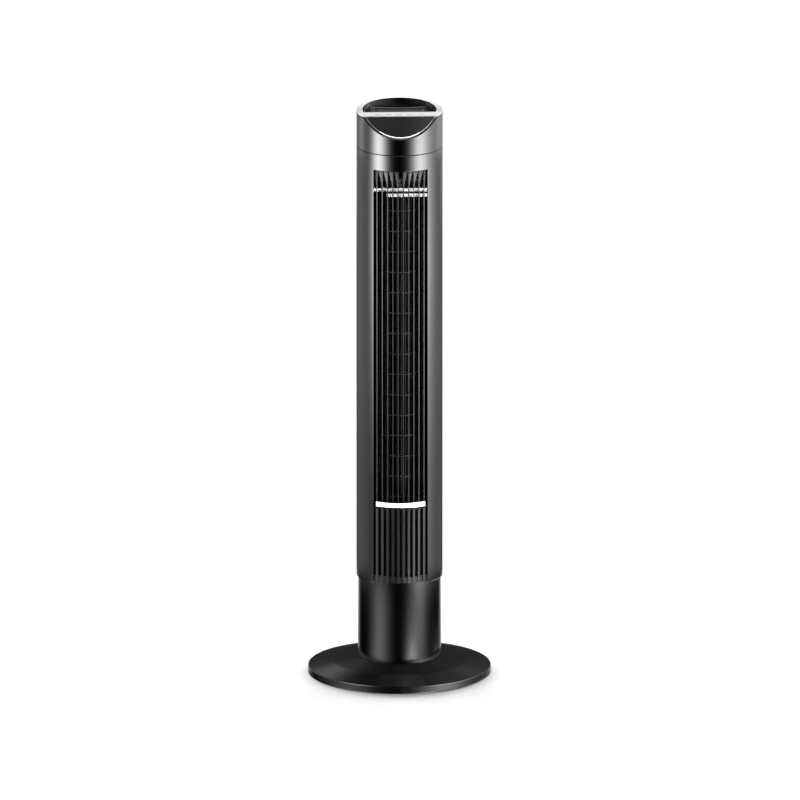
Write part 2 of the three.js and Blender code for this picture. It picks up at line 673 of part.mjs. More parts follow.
// The display face slopes down from the strip to the front of the head.
const SLOPE_ANGLE = Math.atan2(BEZEL_TOP - SLOPE_BOTTOM_Z, BODY_RADIUS + SLOPE_TOP_Y);

// A slab that lies along the sloping face, between two heights measured square to it.
// A negative height is under the face.
function slopeSlab(below, above) {
  const geometry = new THREE.BoxGeometry(200, 200, above - below);
  geometry.translate(0, -50, (above + below) / 2);
  geometry.rotateX(SLOPE_ANGLE);
  geometry.translate(0, SLOPE_TOP_Y, BEZEL_TOP);
  return solidOf(geometry);
}

// Everything under the top edge of the head, which is level in front and behind; lift moves that edge up or down.
function belowRim(lift) {
  const low = BEZEL_TOP + lift;
  const high = low + RIM_RISE;
  const outline = [
    [-100, 900], [100, 900], [100, high], [RIM_RISE_END, high], [RIM_RISE_START, low], [-100, low],
  ];
  return prism(outline, -100, 100).rotate([90, 0, 90]);
}

function headShell() {
  const tall = ring(BODY_INNER, BODY_RADIUS, HEAD_SEAM + SEAM_GAP / 2, HEAD_TOP + RIM_RISE + 1);
  const shell = tall.intersect(belowRim(HEAD_TOP - BEZEL_TOP));
  const lip = ring(BODY_INNER - 2.5, BODY_INNER + 0.5, HEAD_SEAM + SEAM_GAP / 2, HEAD_SEAM + 6);
  const spigot = ring(BODY_INNER - 2.5, BODY_INNER - 0.5, HEAD_SEAM - 6, HEAD_SEAM + 2);
  return joined([shell, lip, spigot]).subtract(slopeSlab(0, 100));
}
addPiece(towerGroup, 'head_shell', headShell(), 'blackGloss');

const TRIM_OUTER = BODY_INNER - GAP;
const TRIM_WIDTH = 1.5;
const PANEL_TOP_Y = SLOPE_TOP_Y - 1.2;

function onSlope(radius, inner, below, above) {
  const column = inner > 0 ? ring(inner, radius, 940, 1020) : disc(radius, 940, 1020);
  const front = box(-90, 90, -90, PANEL_TOP_Y, 940, 1020);
  return column.intersect(slopeSlab(below, above)).intersect(front);
}
addPiece(towerGroup, 'display_panel', onSlope(TRIM_OUTER - TRIM_WIDTH - GAP, 0, -3, -0.5), 'display');
addPiece(towerGroup, 'display_trim', onSlope(TRIM_OUTER, TRIM_OUTER - TRIM_WIDTH, -3, -0.1), 'silver');

const buttonPlaces = evenly(BUTTON_NAMES.length, (i) => BUTTON_PITCH * (i - (BUTTON_NAMES.length - 1) / 2));
const BEZEL_RADIUS = BODY_RADIUS - 0.4;

// The silver control strip, with arms that run back round both sides of the tray.
function controlBezel() {
  const tall = disc(BEZEL_RADIUS, BEZEL_BOTTOM - 1, BEZEL_TOP + RIM_RISE + 1);
  const plate = tall.intersect(belowRim(0)).subtract(belowRim(BEZEL_BOTTOM - BEZEL_TOP));
  const stripArea = box(-90, 90, -90, TRAY_EDGE_Y - GAP, 980, 1030);
  const trayHole = disc(TRAY_RADIUS + GAP, 990, 1020).subtract(stripArea);
  const front = box(-90, 90, -90, SLOPE_TOP_Y, 980, 1030);
  const holes = buttonPlaces.map((x) => extruded(
    roundedOutline(x, BUTTON_ROW_Y, BUTTON_LENGTH + 1, BUTTON_WIDTH + 1, (BUTTON_WIDTH + 1) / 2), 990, 1020));
  return cutBy(plate, [trayHole, front, ...holes]);
}
addPiece(towerGroup, 'control_bezel', controlBezel(), 'silver');

BUTTON_NAMES.forEach((name, i) => {
  const x = buttonPlaces[i];
  const corner = BUTTON_WIDTH / 2;
  const cap = roundedOutline(x, BUTTON_ROW_Y, BUTTON_LENGTH, BUTTON_WIDTH, corner);
  const skirt = roundedOutline(x, BUTTON_ROW_Y, BUTTON_LENGTH + 3, BUTTON_WIDTH + 3, corner);
  const body = extruded(cap, BEZEL_BOTTOM - 1.2, BEZEL_TOP + 0.9);
  const flange = extruded(skirt, BEZEL_BOTTOM - 1.8, BEZEL_BOTTOM - 0.6);
  addPiece(towerGroup, `button_${name}`, joined([body, flange]), 'silver');
});

// Black tray behind the strip: a dished top with a well for the remote control.
function topTray() {
  const dish = turned([
    [0, BEZEL_BOTTOM - 5], [TRAY_RADIUS - 3, BEZEL_BOTTOM - 5], [TRAY_RADIUS, BEZEL_BOTTOM],
    [TRAY_RADIUS, OVERALL_TOP - 1], [TRAY_RADIUS - 1.2, OVERALL_TOP], [TRAY_RADIUS - 3.5, OVERALL_TOP - 0.6],
    [TRAY_RADIUS - 9, 1008.5], [30, 1005.8], [0, 1005.2],
  ]);
  const edge = box(-90, 90, -90, TRAY_EDGE_Y, 970, 1030);
  // The rim falls from the back towards the strip.
  const fall = Math.atan2(OVERALL_TOP - BEZEL_TOP - 1.5, TRAY_RADIUS - TRAY_EDGE_Y);
  const above = solidOf(new THREE.BoxGeometry(200, 300, 40).translate(0, 0, 20));
  const fallen = above.rotate([THREE.MathUtils.radToDeg(fall), 0, 0]);
  const rimCut = fallen.translate([0, TRAY_RADIUS, OVERALL_TOP]);
  const wall = 2.5;
  const wellOuter = box(-WELL_HALF_WIDTH - wall, WELL_HALF_WIDTH + wall, TRAY_EDGE_Y, WELL_REAR_Y + wall,
    WELL_FLOOR - wall, 1000);
  const well = box(-WELL_HALF_WIDTH, WELL_HALF_WIDTH, TRAY_EDGE_Y + wall, WELL_REAR_Y, WELL_FLOOR, 1030);
  return cutBy(joined([cutBy(dish, [edge, rimCut]), wellOuter]), [well]);
}
addPiece(towerGroup, 'top_tray', topTray(), 'blackGloss');

// Circuit boards: one under the buttons, one behind the display.
function controlBoard() {
  const top = BEZEL_BOTTOM - 6;
  const board = box(-50, 50, BUTTON_ROW_Y - 10, BUTTON_ROW_Y + 8, top - 1.6, top);
  const half = 3;
  const switches = buttonPlaces.map((x) => (
    box(x - half, x + half, BUTTON_ROW_Y - half, BUTTON_ROW_Y + half, top - 0.5, top + 2.6)
  ));
  return joined([board, ...switches]);
}
addPiece(towerGroup, 'control_board', controlBoard(), 'circuitBoard');

function displayBoard() {
  const board = box(-30, 30, PANEL_TOP_Y - 24, PANEL_TOP_Y - 4, 940, 1020);
  return board.intersect(slopeSlab(-7, -5.4));
}
addPiece(towerGroup, 'display_board', displayBoard(), 'circuitBoard');

// Wires in a sleeve, from the pivot post up the side of the duct to the control board.
function wireLoom() {
  const [x, y] = LOOM_PLACE;
  const bottom = 212;
  const upright = disc(LOOM_RADIUS, bottom, 985, 8).translate([x, y, 0]);
  const reach = Math.hypot(x, y) - 6;
  const bearing = THREE.MathUtils.radToDeg(Math.atan2(y, x));
  const lead = disc(LOOM_RADIUS, 0, reach, 8).rotate([0, 90, 0]).rotate([0, 0, bearing]);
  const elbow = solidOf(new THREE.SphereGeometry(LOOM_RADIUS, 8, 6)).translate([x, y, bottom]);
  const [unitX, unitY] = [x / Math.hypot(x, y), y / Math.hypot(x, y)];
  return joined([upright, lead.translate([unitX * 6, unitY * 6, bottom]), elbow]);
}
addPiece(towerGroup, 'wire_loom', wireLoom(), 'rubber');

export default fan;
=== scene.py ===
import math

import bmesh
import bpy
from mathutils import Matrix, Vector


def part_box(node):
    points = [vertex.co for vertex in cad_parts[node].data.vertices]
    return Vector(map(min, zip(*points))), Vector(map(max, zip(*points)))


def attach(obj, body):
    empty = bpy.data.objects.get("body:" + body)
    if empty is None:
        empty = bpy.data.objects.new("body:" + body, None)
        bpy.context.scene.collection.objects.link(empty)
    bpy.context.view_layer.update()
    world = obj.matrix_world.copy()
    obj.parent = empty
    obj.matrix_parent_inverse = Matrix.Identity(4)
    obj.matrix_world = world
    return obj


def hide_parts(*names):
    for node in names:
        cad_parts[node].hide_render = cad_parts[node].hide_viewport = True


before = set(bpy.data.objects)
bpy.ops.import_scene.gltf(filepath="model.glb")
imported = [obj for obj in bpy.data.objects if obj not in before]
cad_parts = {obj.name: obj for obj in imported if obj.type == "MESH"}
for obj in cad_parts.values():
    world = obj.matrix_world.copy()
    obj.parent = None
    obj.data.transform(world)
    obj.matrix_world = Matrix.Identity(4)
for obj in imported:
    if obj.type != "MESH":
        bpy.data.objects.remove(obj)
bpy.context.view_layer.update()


# ---- Camera ----
# A long lens far away, looking down a little, so that the tower's sides stay parallel.

CAMERA_DISTANCE = 60.0
CAMERA_TILT = math.radians(14.5)
CAMERA_TURN = math.radians(1.8)
FIELD_WIDTH = 1.391
camera_target = Vector((0.0009, 0, 0.4875))

camera_data = bpy.data.cameras.new("studio_camera")
camera_data.lens = camera_data.sensor_width * CAMERA_DISTANCE / FIELD_WIDTH
camera_data.clip_start = 1.0
camera_data.clip_end = 150.0
camera = bpy.data.objects.new("studio_camera", camera_data)
camera_back = Vector((0, -math.cos(CAMERA_TILT), math.sin(CAMERA_TILT)))
camera_back.rotate(Matrix.Rotation(-CAMERA_TURN, 3, "Z"))
camera.location = camera_target + camera_back * CAMERA_DISTANCE
camera.rotation_mode = "QUATERNION"
camera.rotation_quaternion = (-camera_back).to_track_quat("-Z", "Y")
bpy.context.collection.objects.link(camera)
bpy.context.scene.camera = camera
bpy.context.scene.view_settings.view_transform = "Standard"


# ---- White studio ----
# A white floor and white surroundings, with a soft shadow where the base meets the floor. Polished
# surfaces see a dark room instead, with lit side walls and one bright panel high up in front.

def new_material(name):
    """An empty node material, with its nodes, its links and its output."""
    made = bpy.data.materials.new(name)
    made.use_nodes = True
    made.node_tree.nodes.clear()
    output = made.node_tree.nodes.new("ShaderNodeOutputMaterial")
    return made, made.node_tree.nodes, made.node_tree.links, output


def calculate(tree, operation, *values):
    """A Math node; each value is a number or another node's output."""
    node = tree.nodes.new("ShaderNodeMath")
    node.operation = operation
    for socket, value in zip(node.inputs, values):
        if isinstance(value, (int, float)):
            socket.default_value = value
        else:
            tree.links.new(value, socket)
    return node.outputs[0]


def link_piece(name, mesh):
    """A new object for a mesh, in the scene."""
    made = bpy.data.objects.new(name, mesh)
    bpy.context.collection.objects.link(made)
    return made


def white_floor():
    """Matt white paper."""
    made, nodes, links, output = new_material("white_floor")
    diffuse = nodes.new("ShaderNodeBsdfDiffuse")
    diffuse.inputs["Color"].default_value = (0.95, 0.95, 0.95, 1)
    links.new(diffuse.outputs[0], output.inputs["Surface"])
    return made


FLOOR_RADIUS = 14.0
FLOOR_SIDES = 96
floor_mesh = bpy.data.meshes.new("floor")
floor_turns = [math.tau * i / FLOOR_SIDES for i in range(FLOOR_SIDES)]
floor_edge = [(FLOOR_RADIUS * math.cos(turn), FLOOR_RADIUS * math.sin(turn), 0) for turn in floor_turns]
floor_mesh.from_pydata(floor_edge, [], [tuple(range(FLOOR_SIDES))])
floor = link_piece("floor", floor_mesh)
floor_mesh.materials.append(white_floor())
floor.visible_glossy = False

FLOOR_LIGHT = 0.5
BACK_LIGHTS = 5
BACK_LIGHT_STRENGTH = 1.8
BACK_LIGHT_SPREAD = math.radians(25)
BACK_LIGHT_TILT = math.radians(17)
for number in range(BACK_LIGHTS):
    sun_data = bpy.data.lights.new("back_light", "SUN")
    sun_data.energy = BACK_LIGHT_STRENGTH
    sun_data.angle = BACK_LIGHT_SPREAD
    sun = bpy.data.objects.new("back_light", sun_data)
    sun_turn = BACK_LIGHT_SPREAD * (number - (BACK_LIGHTS - 1) / 2)
    sun.rotation_euler = (BACK_LIGHT_TILT - math.pi / 2, 0, sun_turn)
    sun.visible_glossy = False
    bpy.context.collection.objects.link(sun)

LEFT_WALL_LIGHT = 0.9
RIGHT_WALL_LIGHT = 2.5
WALL_FALLOFF = 1.3
ROOM_GLOW = 0.015
PANEL_LIGHT = 4.0
PANEL_FRONT = -0.7
PANEL_LOW_EDGE = 0.2

world = bpy.data.worlds.new("studio")
bpy.context.scene.world = world
world.cycles.sampling_method = "NONE"
world.use_nodes = True
world.node_tree.nodes.clear()
world_out = world.node_tree.nodes.new("ShaderNodeOutputWorld")
world_light = world.node_tree.nodes.new("ShaderNodeBackground")
world_light.inputs["Color"].default_value = (1, 1, 1, 1)
world_path = world.node_tree.nodes.new("ShaderNodeLightPath")
world_place = world.node_tree.nodes.new("ShaderNodeTexCoord")
world_split = world.node_tree.nodes.new("ShaderNodeSeparateXYZ")
world.node_tree.links.new(world_place.outputs["Generated"], world_split.inputs[0])
sideways = calculate(world.node_tree, "ABSOLUTE", world_split.outputs["X"])
right_side = calculate(world.node_tree, "GREATER_THAN", world_split.outputs["X"], 0.0)
wall_gain = RIGHT_WALL_LIGHT - LEFT_WALL_LIGHT
side_strength = calculate(world.node_tree, "MULTIPLY_ADD", right_side, wall_gain, LEFT_WALL_LIGHT)
side_glow = calculate(world.node_tree, "POWER", sideways, WALL_FALLOFF)
side_light = calculate(world.node_tree, "MULTIPLY_ADD", side_glow, side_strength, ROOM_GLOW)
forward = calculate(world.node_tree, "LESS_THAN", world_split.outputs["Y"], PANEL_FRONT)
upward = calculate(world.node_tree, "GREATER_THAN", world_split.outputs["Z"], PANEL_LOW_EDGE)
front_panel = calculate(world.node_tree, "MULTIPLY", forward, upward)
gloss_light = calculate(world.node_tree, "MULTIPLY_ADD", front_panel, PANEL_LIGHT, side_light)
flat_light = calculate(
    world.node_tree, "MULTIPLY_ADD", world_path.outputs["Is Diffuse Ray"], FLOOR_LIGHT - 1, 1.0
)
seen_in_gloss = calculate(world.node_tree, "MULTIPLY", world_path.outputs["Is Glossy Ray"], gloss_light)
not_in_gloss = calculate(world.node_tree, "SUBTRACT", 1.0, world_path.outputs["Is Glossy Ray"])
plain_part = calculate(world.node_tree, "MULTIPLY", not_in_gloss, flat_light)
world_total = calculate(world.node_tree, "ADD", seen_in_gloss, plain_part)
world.node_tree.links.new(world_total, world_light.inputs["Strength"])
world.node_tree.links.new(world_light.outputs[0], world_out.inputs["Surface"])


# ---- Softbox drum ----
# A drum of light round the fan that only polished surfaces see. It carries two tall softboxes at the front
# left and right, bright above and weak lower down, and the lit walls beside and behind the fan.

DRUM_RADIUS = 1.2
DRUM_BOTTOM = -1.2
DRUM_TOP = 0.95
DRUM_SEGMENTS = 96
TOWER_RADIUS = 0.0735


def grey_ramp(tree, value, stops):
    """A colour ramp of greys over value; stops are (position, brightness), from low to high."""
    ramp = tree.nodes.new("ShaderNodeValToRGB")
    elements = ramp.color_ramp.elements
    elements.remove(elements[1])
    elements[0].position = stops[0][0]
    elements[0].color = (stops[0][1], stops[0][1], stops[0][1], 1)
    for position, level in stops[1:]:
        elements.new(position).color = (level, level, level, 1)
    tree.links.new(value, ramp.inputs[0])
    return ramp.outputs[0]


def height_ramp(tree, height, stops):
    """Brightness by height; stops are (height, brightness), from low to high."""
    top = max(level for z, level in stops)
    low, high = stops[0][0], stops[-1][0]
    share = calculate(tree, "DIVIDE", calculate(tree, "SUBTRACT", height, low), high - low)
    placed = [((z - low) / (high - low), level / top) for z, level in stops]
    return calculate(tree, "MULTIPLY", grey_ramp(tree, share, placed), top)


def glow_at(tree, angle, centre, spread, strength):
    """A soft-edged patch of light centred on an angle, in degrees."""
    away = calculate(tree, "DIVIDE", calculate(tree, "SUBTRACT", angle, centre), spread)
    fall = calculate(
        tree, "EXPONENT", calculate(tree, "MULTIPLY", calculate(tree, "MULTIPLY", away, away), -1)
    )
    return calculate(tree, "MULTIPLY", fall, strength)


def total_of(tree, *values):
    """The sum of several outputs."""
    total = values[0]
    for value in values[1:]:
        total = calculate(tree, "ADD", total, value)
    return total


def softbox_drum():
    """The drum's light, by angle from the front and by the height on the tower that mirrors it."""
    made, nodes, links, output = new_material("softbox_drum")
    tree = made.node_tree
    place = nodes.new("ShaderNodeTexCoord")
    split = nodes.new("ShaderNodeSeparateXYZ")
    links.new(place.outputs["Object"], split.inputs[0])
    towards_front = calculate(tree, "MULTIPLY", split.outputs["Y"], -1)
    radians = calculate(tree, "ARCTAN2", split.outputs["X"], towards_front)
    angle = calculate(tree, "DEGREES", radians)
    turn = calculate(tree, "ABSOLUTE", angle)
    # The height on the tower at which this patch is mirrored towards the camera.
    mirror_side = calculate(tree, "COSINE", calculate(tree, "MULTIPLY", radians, 0.5))
    mirror_drop = calculate(tree, "MULTIPLY_ADD", mirror_side, -TOWER_RADIUS, DRUM_RADIUS)
    height = calculate(tree, "MULTIPLY_ADD", mirror_drop, math.tan(CAMERA_TILT), split.outputs["Z"])

    left_height = height_ramp(tree, height, [
        (0.176, 0.0), (0.183, 0.02), (0.34, 0.03), (0.45, 0.18), (0.56, 0.42), (0.77, 1.1), (0.93, 1.0),
        (1.3, 0.3),
    ])
    right_height = height_ramp(tree, height, [
        (0.176, 0.0), (0.183, 0.30), (0.34, 0.36), (0.56, 0.66), (0.77, 1.1), (0.93, 1.0), (1.3, 0.3),
    ])
    left = calculate(tree, "MULTIPLY", glow_at(tree, angle, -55, 18.5, 21), left_height)
    right_pair = total_of(tree, glow_at(tree, angle, 54, 20, 17), glow_at(tree, angle, 80, 22, 4.0))
    right = calculate(tree, "MULTIPLY", right_pair, right_height)

    # The side walls of the room, from beside the fan to behind it.
    wall_turn = calculate(tree, "DIVIDE", turn, 180.0)
    walls = grey_ramp(tree, wall_turn, [
        (0.25, 0.0), (0.45, 0.85), (0.55, 1.0), (0.65, 0.8), (0.72, 0.6), (0.78, 0.38), (0.85, 0.17),
        (0.93, 0.05), (1.0, 0.005),
    ])
    wall_height = height_ramp(tree, height, [
        (0.176, 0.0), (0.183, 0.85), (0.40, 0.88), (0.60, 1.15), (0.94, 1.15), (1.1, 1.0), (1.3, 0.4),
    ])
    walls = calculate(tree, "MULTIPLY", walls, wall_height)
    head_walls = total_of(tree, glow_at(tree, angle, -118, 16, 1.0), glow_at(tree, angle, 122, 20, 1.4))
    head_walls = calculate(
        tree, "MULTIPLY", head_walls,
        height_ramp(tree, height, [(0.944, 0), (0.95, 1), (1.1, 1), (1.15, 0)])
    )

    # Low down, round the neck: two weak softboxes, and a little light from behind.
    neck_height = height_ramp(tree, height, [(0.018, 0.0), (0.022, 1.0), (0.174, 1.0), (0.181, 0.0)])
    neck_light = total_of(
        tree, glow_at(tree, angle, -54, 23, 2.4), glow_at(tree, angle, 54, 22, 2.3),
        glow_at(tree, turn, 160, 16, 0.8),
    )
    neck_light = calculate(tree, "MULTIPLY", neck_light, neck_height)

    # Lowest, round the rim of the base.
    rim_height = height_ramp(tree, height, [(-0.5, 1.0), (0.013, 1.0), (0.017, 0.0)])
    rim_light = total_of(
        tree, glow_at(tree, angle, -64, 22, 5.5), glow_at(tree, angle, 34, 14, 34),
        glow_at(tree, angle, 128, 26, 6),
    )
    rim_light = calculate(tree, "MULTIPLY", rim_light, rim_height)

    # Two soft patches behind, on the left and on the right, which the top of the base mirrors.
    patch_height = height_ramp(tree, height, [(0.75, 0.0), (0.95, 0.8), (1.06, 1.0), (1.25, 0.2)])
    back_glow = total_of(tree, glow_at(tree, angle, -160, 7, 0.9), glow_at(tree, angle, 150, 13, 0.5))
    back_patch = calculate(tree, "MULTIPLY", back_glow, patch_height)
    back_wall = calculate(
        tree, "MULTIPLY", glow_at(tree, turn, 180, 14, 0.03),
        height_ramp(tree, height, [(0.3, 0.3), (0.5, 1.0)])
    )

    total = total_of(tree, left, right, walls, head_walls, neck_light, rim_light, back_patch, back_wall)
    emission = nodes.new("ShaderNodeEmission")
    links.new(total, emission.inputs["Strength"])
    links.new(emission.outputs[0], output.inputs["Surface"])
    made.cycles.emission_sampling = "NONE"
    return made


drum_mesh = bpy.data.meshes.new("softbox_drum")
drum_points = []
for z in (DRUM_BOTTOM, DRUM_TOP):
    for i in range(DRUM_SEGMENTS):
        turn = math.tau * i / DRUM_SEGMENTS
        drum_points.append((DRUM_RADIUS * math.cos(turn), DRUM_RADIUS * math.sin(turn), z))
drum_faces = [
    (i, (i + 1) % DRUM_SEGMENTS, DRUM_SEGMENTS + (i + 1) % DRUM_SEGMENTS, DRUM_SEGMENTS + i)
    for i in range(DRUM_SEGMENTS)
]
drum_mesh.from_pydata(drum_points, [], drum_faces)
drum_mesh.materials.append(softbox_drum())
drum = link_piece("softbox_drum", drum_mesh)
drum.rotation_euler = (0, 0, -CAMERA_TURN)
drum.visible_camera = False
drum.visible_diffuse = False
drum.visible_shadow = False
drum.visible_transmission = False


# ---- Base cover ----
# A shallow cone of high-gloss black ABS, injection moulded in one piece with a rounded rim, which holds
# the ballast. The neck stands on a step at its middle, with a thin shadow gap round it.

MM = 0.001


def moulded_group():
    """The skin of a moulding: slight ripple from the mould, smears that change its gloss, and dust."""
    tree = bpy.data.node_groups.new("moulded_skin", "ShaderNodeTree")
    sockets = [
        ("Color", "NodeSocketColor", (0.01, 0.01, 0.01, 1)),
        ("Dust Color", "NodeSocketColor", (0.3, 0.3, 0.3, 1)),
        ("Dust", "NodeSocketFloat", 0.02), ("Roughness", "NodeSocketFloat", 0.2),
        ("Smear", "NodeSocketFloat", 0.04), ("Grain Scale", "NodeSocketFloat", 700.0),
    ]
    for name, kind, value in sockets:
        tree.interface.new_socket(name, in_out="INPUT", socket_type=kind).default_value = value
    for name, kind in (
        ("Color", "NodeSocketColor"), ("Roughness", "NodeSocketFloat"), ("Height", "NodeSocketFloat")
    ):
        tree.interface.new_socket(name, in_out="OUTPUT", socket_type=kind)
    given = tree.nodes.new("NodeGroupInput")
    result = tree.nodes.new("NodeGroupOutput")
    place = tree.nodes.new("ShaderNodeTexCoord")

    grain = tree.nodes.new("ShaderNodeTexNoise")
    grain.inputs["Detail"].default_value = 3
    tree.links.new(place.outputs["Object"], grain.inputs["Vector"])
    tree.links.new(given.outputs["Grain Scale"], grain.inputs["Scale"])
    tree.links.new(grain.outputs["Fac"], result.inputs["Height"])

    smears = tree.nodes.new("ShaderNodeTexNoise")
    smears.inputs["Scale"].default_value = 14
    smears.inputs["Detail"].default_value = 5
    smears.inputs["Distortion"].default_value = 0.8
    tree.links.new(place.outputs["Object"], smears.inputs["Vector"])
    swing = calculate(
        tree, "MULTIPLY", calculate(tree, "SUBTRACT", smears.outputs["Fac"], 0.5), given.outputs["Smear"]
    )
    swing = calculate(tree, "MULTIPLY", swing, 2.0)
    tree.links.new(calculate(tree, "ADD", given.outputs["Roughness"], swing), result.inputs["Roughness"])

    specks = tree.nodes.new("ShaderNodeTexNoise")
    specks.inputs["Scale"].default_value = 1900
    specks.inputs["Detail"].default_value = 1
    tree.links.new(place.outputs["Object"], specks.inputs["Vector"])
    where = calculate(tree, "GREATER_THAN", specks.outputs["Fac"], 0.72)
    amount = calculate(
        tree, "MULTIPLY", calculate(tree, "MULTIPLY", where, given.outputs["Dust"]), smears.outputs["Fac"]
    )
    blend = tree.nodes.new("ShaderNodeMix")
    blend.data_type = "RGBA"
    tree.links.new(amount, blend.inputs["Factor"])
    tree.links.new(given.outputs["Color"], blend.inputs["A"])
    tree.links.new(given.outputs["Dust Color"], blend.inputs["B"])
    tree.links.new(blend.outputs["Result"], result.inputs["Color"])
    return tree


moulded_skin = moulded_group()


def moulding(
    name, color, roughness, smear=0.03, dust=0.03, grain_scale=700.0, grain=0.02, fixed=(), gap_shade_reach=0.0
):
    """A material on the moulded skin; fixed holds the shader's own settings, a reach paints shade in narrow
    gaps.
    """
    made, nodes, links, output = new_material(name)
    skin = nodes.new("ShaderNodeGroup")
    skin.node_tree = moulded_skin
    skin.inputs["Color"].default_value = (*color, 1)
    skin.inputs["Roughness"].default_value = roughness
    skin.inputs["Smear"].default_value = smear
    skin.inputs["Dust"].default_value = dust
    skin.inputs["Grain Scale"].default_value = grain_scale
    bump = nodes.new("ShaderNodeBump")
    bump.inputs["Strength"].default_value = grain
    bump.inputs["Distance"].default_value = 0.0002
    shader = nodes.new("ShaderNodeBsdfPrincipled")
    links.new(skin.outputs["Color"], shader.inputs["Base Color"])
    links.new(skin.outputs["Roughness"], shader.inputs["Roughness"])
    links.new(skin.outputs["Height"], bump.inputs["Height"])
    links.new(bump.outputs["Normal"], shader.inputs["Normal"])
    for socket, value in dict(fixed).items():
        shader.inputs[socket].default_value = value
    # Painted shade: ambient occlusion within this reach dims the shine, so narrow gaps look darker.
    if gap_shade_reach:
        openness = nodes.new("ShaderNodeAmbientOcclusion")
        openness.samples = 6
        openness.inputs["Distance"].default_value = gap_shade_reach
        gap_shade_factor = calculate(made.node_tree, "POWER", openness.outputs["AO"], 2.5)
        shine = shader.inputs["Specular IOR Level"].default_value
        links.new(calculate(made.node_tree, "MULTIPLY", gap_shade_factor, shine), shader.inputs["Specular IOR Level"])
    links.new(shader.outputs[0], output.inputs["Surface"])
    return made


polished_black = moulding("polished_black", (0.0012, 0.0012, 0.0013), 0.13, smear=0.02, dust=0.004)


def rounded_loop(corners, steps=5):
    """A closed outline from (a, b, radius) corners, each rounded by its radius."""
    points = []
    for i, (a, b, radius) in enumerate(corners):
        corner = Vector((a, b))
        if radius == 0:
            points.append(corner)
            continue
        before = Vector(corners[i - 1][:2]) - corner
        after = Vector(corners[(i + 1) % len(corners)][:2]) - corner
        half = before.angle(after) / 2
        reach = min(radius / math.tan(half), before.length * 0.49, after.length * 0.49)
        middle = corner + (before.normalized() + after.normalized()).normalized() * (reach / math.cos(half))
        start = corner + before.normalized() * reach - middle
        end = corner + after.normalized() * reach - middle
        sweep = start.angle_signed(end)
        for step in range(steps + 1):
            turned = start.copy()
            turned.rotate(Matrix.Rotation(-sweep * step / steps, 2))
            points.append(middle + turned)
    return [(p.x, p.y) for p in points]


def mesh_piece(name, points, faces, smooth_angle=35):
    """A finished object from points and faces."""
    mesh = bpy.data.meshes.new(name)
    mesh.from_pydata(points, [], faces)
    return finished_mesh(name, mesh, smooth_angle)


def finished_mesh(name, mesh, smooth_angle=35):
    """A mesh made into an object, with doubles merged, faces outwards and sharp edges kept."""
    work = bmesh.new()
    work.from_mesh(mesh)
    bmesh.ops.remove_doubles(work, verts=work.verts, dist=2e-6)
    bmesh.ops.recalc_face_normals(work, faces=work.faces)
    limit = math.radians(smooth_angle)
    for edge in work.edges:
        edge.smooth = len(edge.link_faces) == 2 and edge.calc_face_angle(math.pi) < limit
    for face in work.faces:
        face.smooth = True
    work.to_mesh(mesh)
    work.free()
    return link_piece(name, mesh)


def with_supports(outline, reach=0.5, longest=3.0):
    """An outline with points added near the ends of its long straight parts, to keep their shading flat."""
    made = []
    for i, point in enumerate(outline):
        start = Vector(point)
        along = Vector(outline[(i + 1) % len(outline)]) - start
        made.append(tuple(start))
        if along.length > longest:
            step = along.normalized() * reach
            made.append(tuple(start + step))
            made.append(tuple(start + along - step))
    return made


def turned_piece(name, outline, steps=160, start=-180.0, sweep=360.0, smooth_angle=35):
    """A solid turned about Z from a closed (radius, height) outline in mm. 0 degrees is the front."""
    outline = with_supports(outline)
    whole = sweep >= 360
    stations = steps if whole else steps + 1
    points = []
    for station in range(stations):
        angle = math.radians(start + sweep * station / steps)
        for radius, height in outline:
            points.append((radius * MM * math.sin(angle), -radius * MM * math.cos(angle), height * MM))
    size = len(outline)
    faces = []
    for station in range(steps):
        here = station * size
        there = ((station + 1) % stations) * size
        for i in range(size):
            j = (i + 1) % size
            faces.append((here + i, here + j, there + j, there + i))
    if not whole:
        faces.append(tuple(range(size)))
        faces.append(tuple(reversed(range(steps * size, (steps + 1) * size))))
    return mesh_piece(name, points, faces, smooth_angle)


def fit(piece, material, body, slot, *nodes):
    """Gives a piece its material and body, and hides the CAD nodes that it stands for; slot is not used."""
    piece.data.materials.clear()
    piece.data.materials.append(material)
    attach(piece, body)
    if nodes:
        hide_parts(*nodes)
    return piece


satin_gloss_black = moulding("satin_gloss_black", (0.0012, 0.0012, 0.0013), 0.2, smear=0.03, dust=0.004)
base_low, base_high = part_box("base_cover")
BASE_RADIUS = base_high.x / MM
BASE_CROWN = base_high.z / MM
BASE_UNDER = base_low.z / MM
RIM_TOP = 13.5
SHOULDER_RADIUS = 118
SHOULDER_HEIGHT = 24
SEAT_RADIUS = 73.3
SEAT_TOP = BASE_CROWN - 2
SEAT_BORE = 30
COVER_WALL = 3
cover_outline = rounded_loop([
    (BASE_RADIUS - COVER_WALL, BASE_UNDER, 0.4), (BASE_RADIUS, BASE_UNDER, 1.0),
    (BASE_RADIUS - 1.2, RIM_TOP, 1.6), (SHOULDER_RADIUS, SHOULDER_HEIGHT, 60),
    (SEAT_RADIUS, BASE_CROWN, 0.7), (SEAT_RADIUS, SEAT_TOP, 0), (SEAT_BORE, SEAT_TOP, 0.5),
    (SEAT_BORE, SEAT_TOP - COVER_WALL, 0.5), (SEAT_RADIUS, SEAT_TOP - COVER_WALL, 0),
    (SHOULDER_RADIUS, SHOULDER_HEIGHT - COVER_WALL, 60), (BASE_RADIUS - COVER_WALL, RIM_TOP - COVER_WALL, 1),
], steps=7)
base_cover = turned_piece("base_cover", cover_outline, steps=192)
fit(base_cover, satin_gloss_black, "stand", "gloss_black", "base_cover")


# ---- Base plate, feet and ballast ----
# A black plate closes the base from below, with four holes for the neck screws and six rubber feet in
# round recesses. The ballast ring over it is rough cast iron.

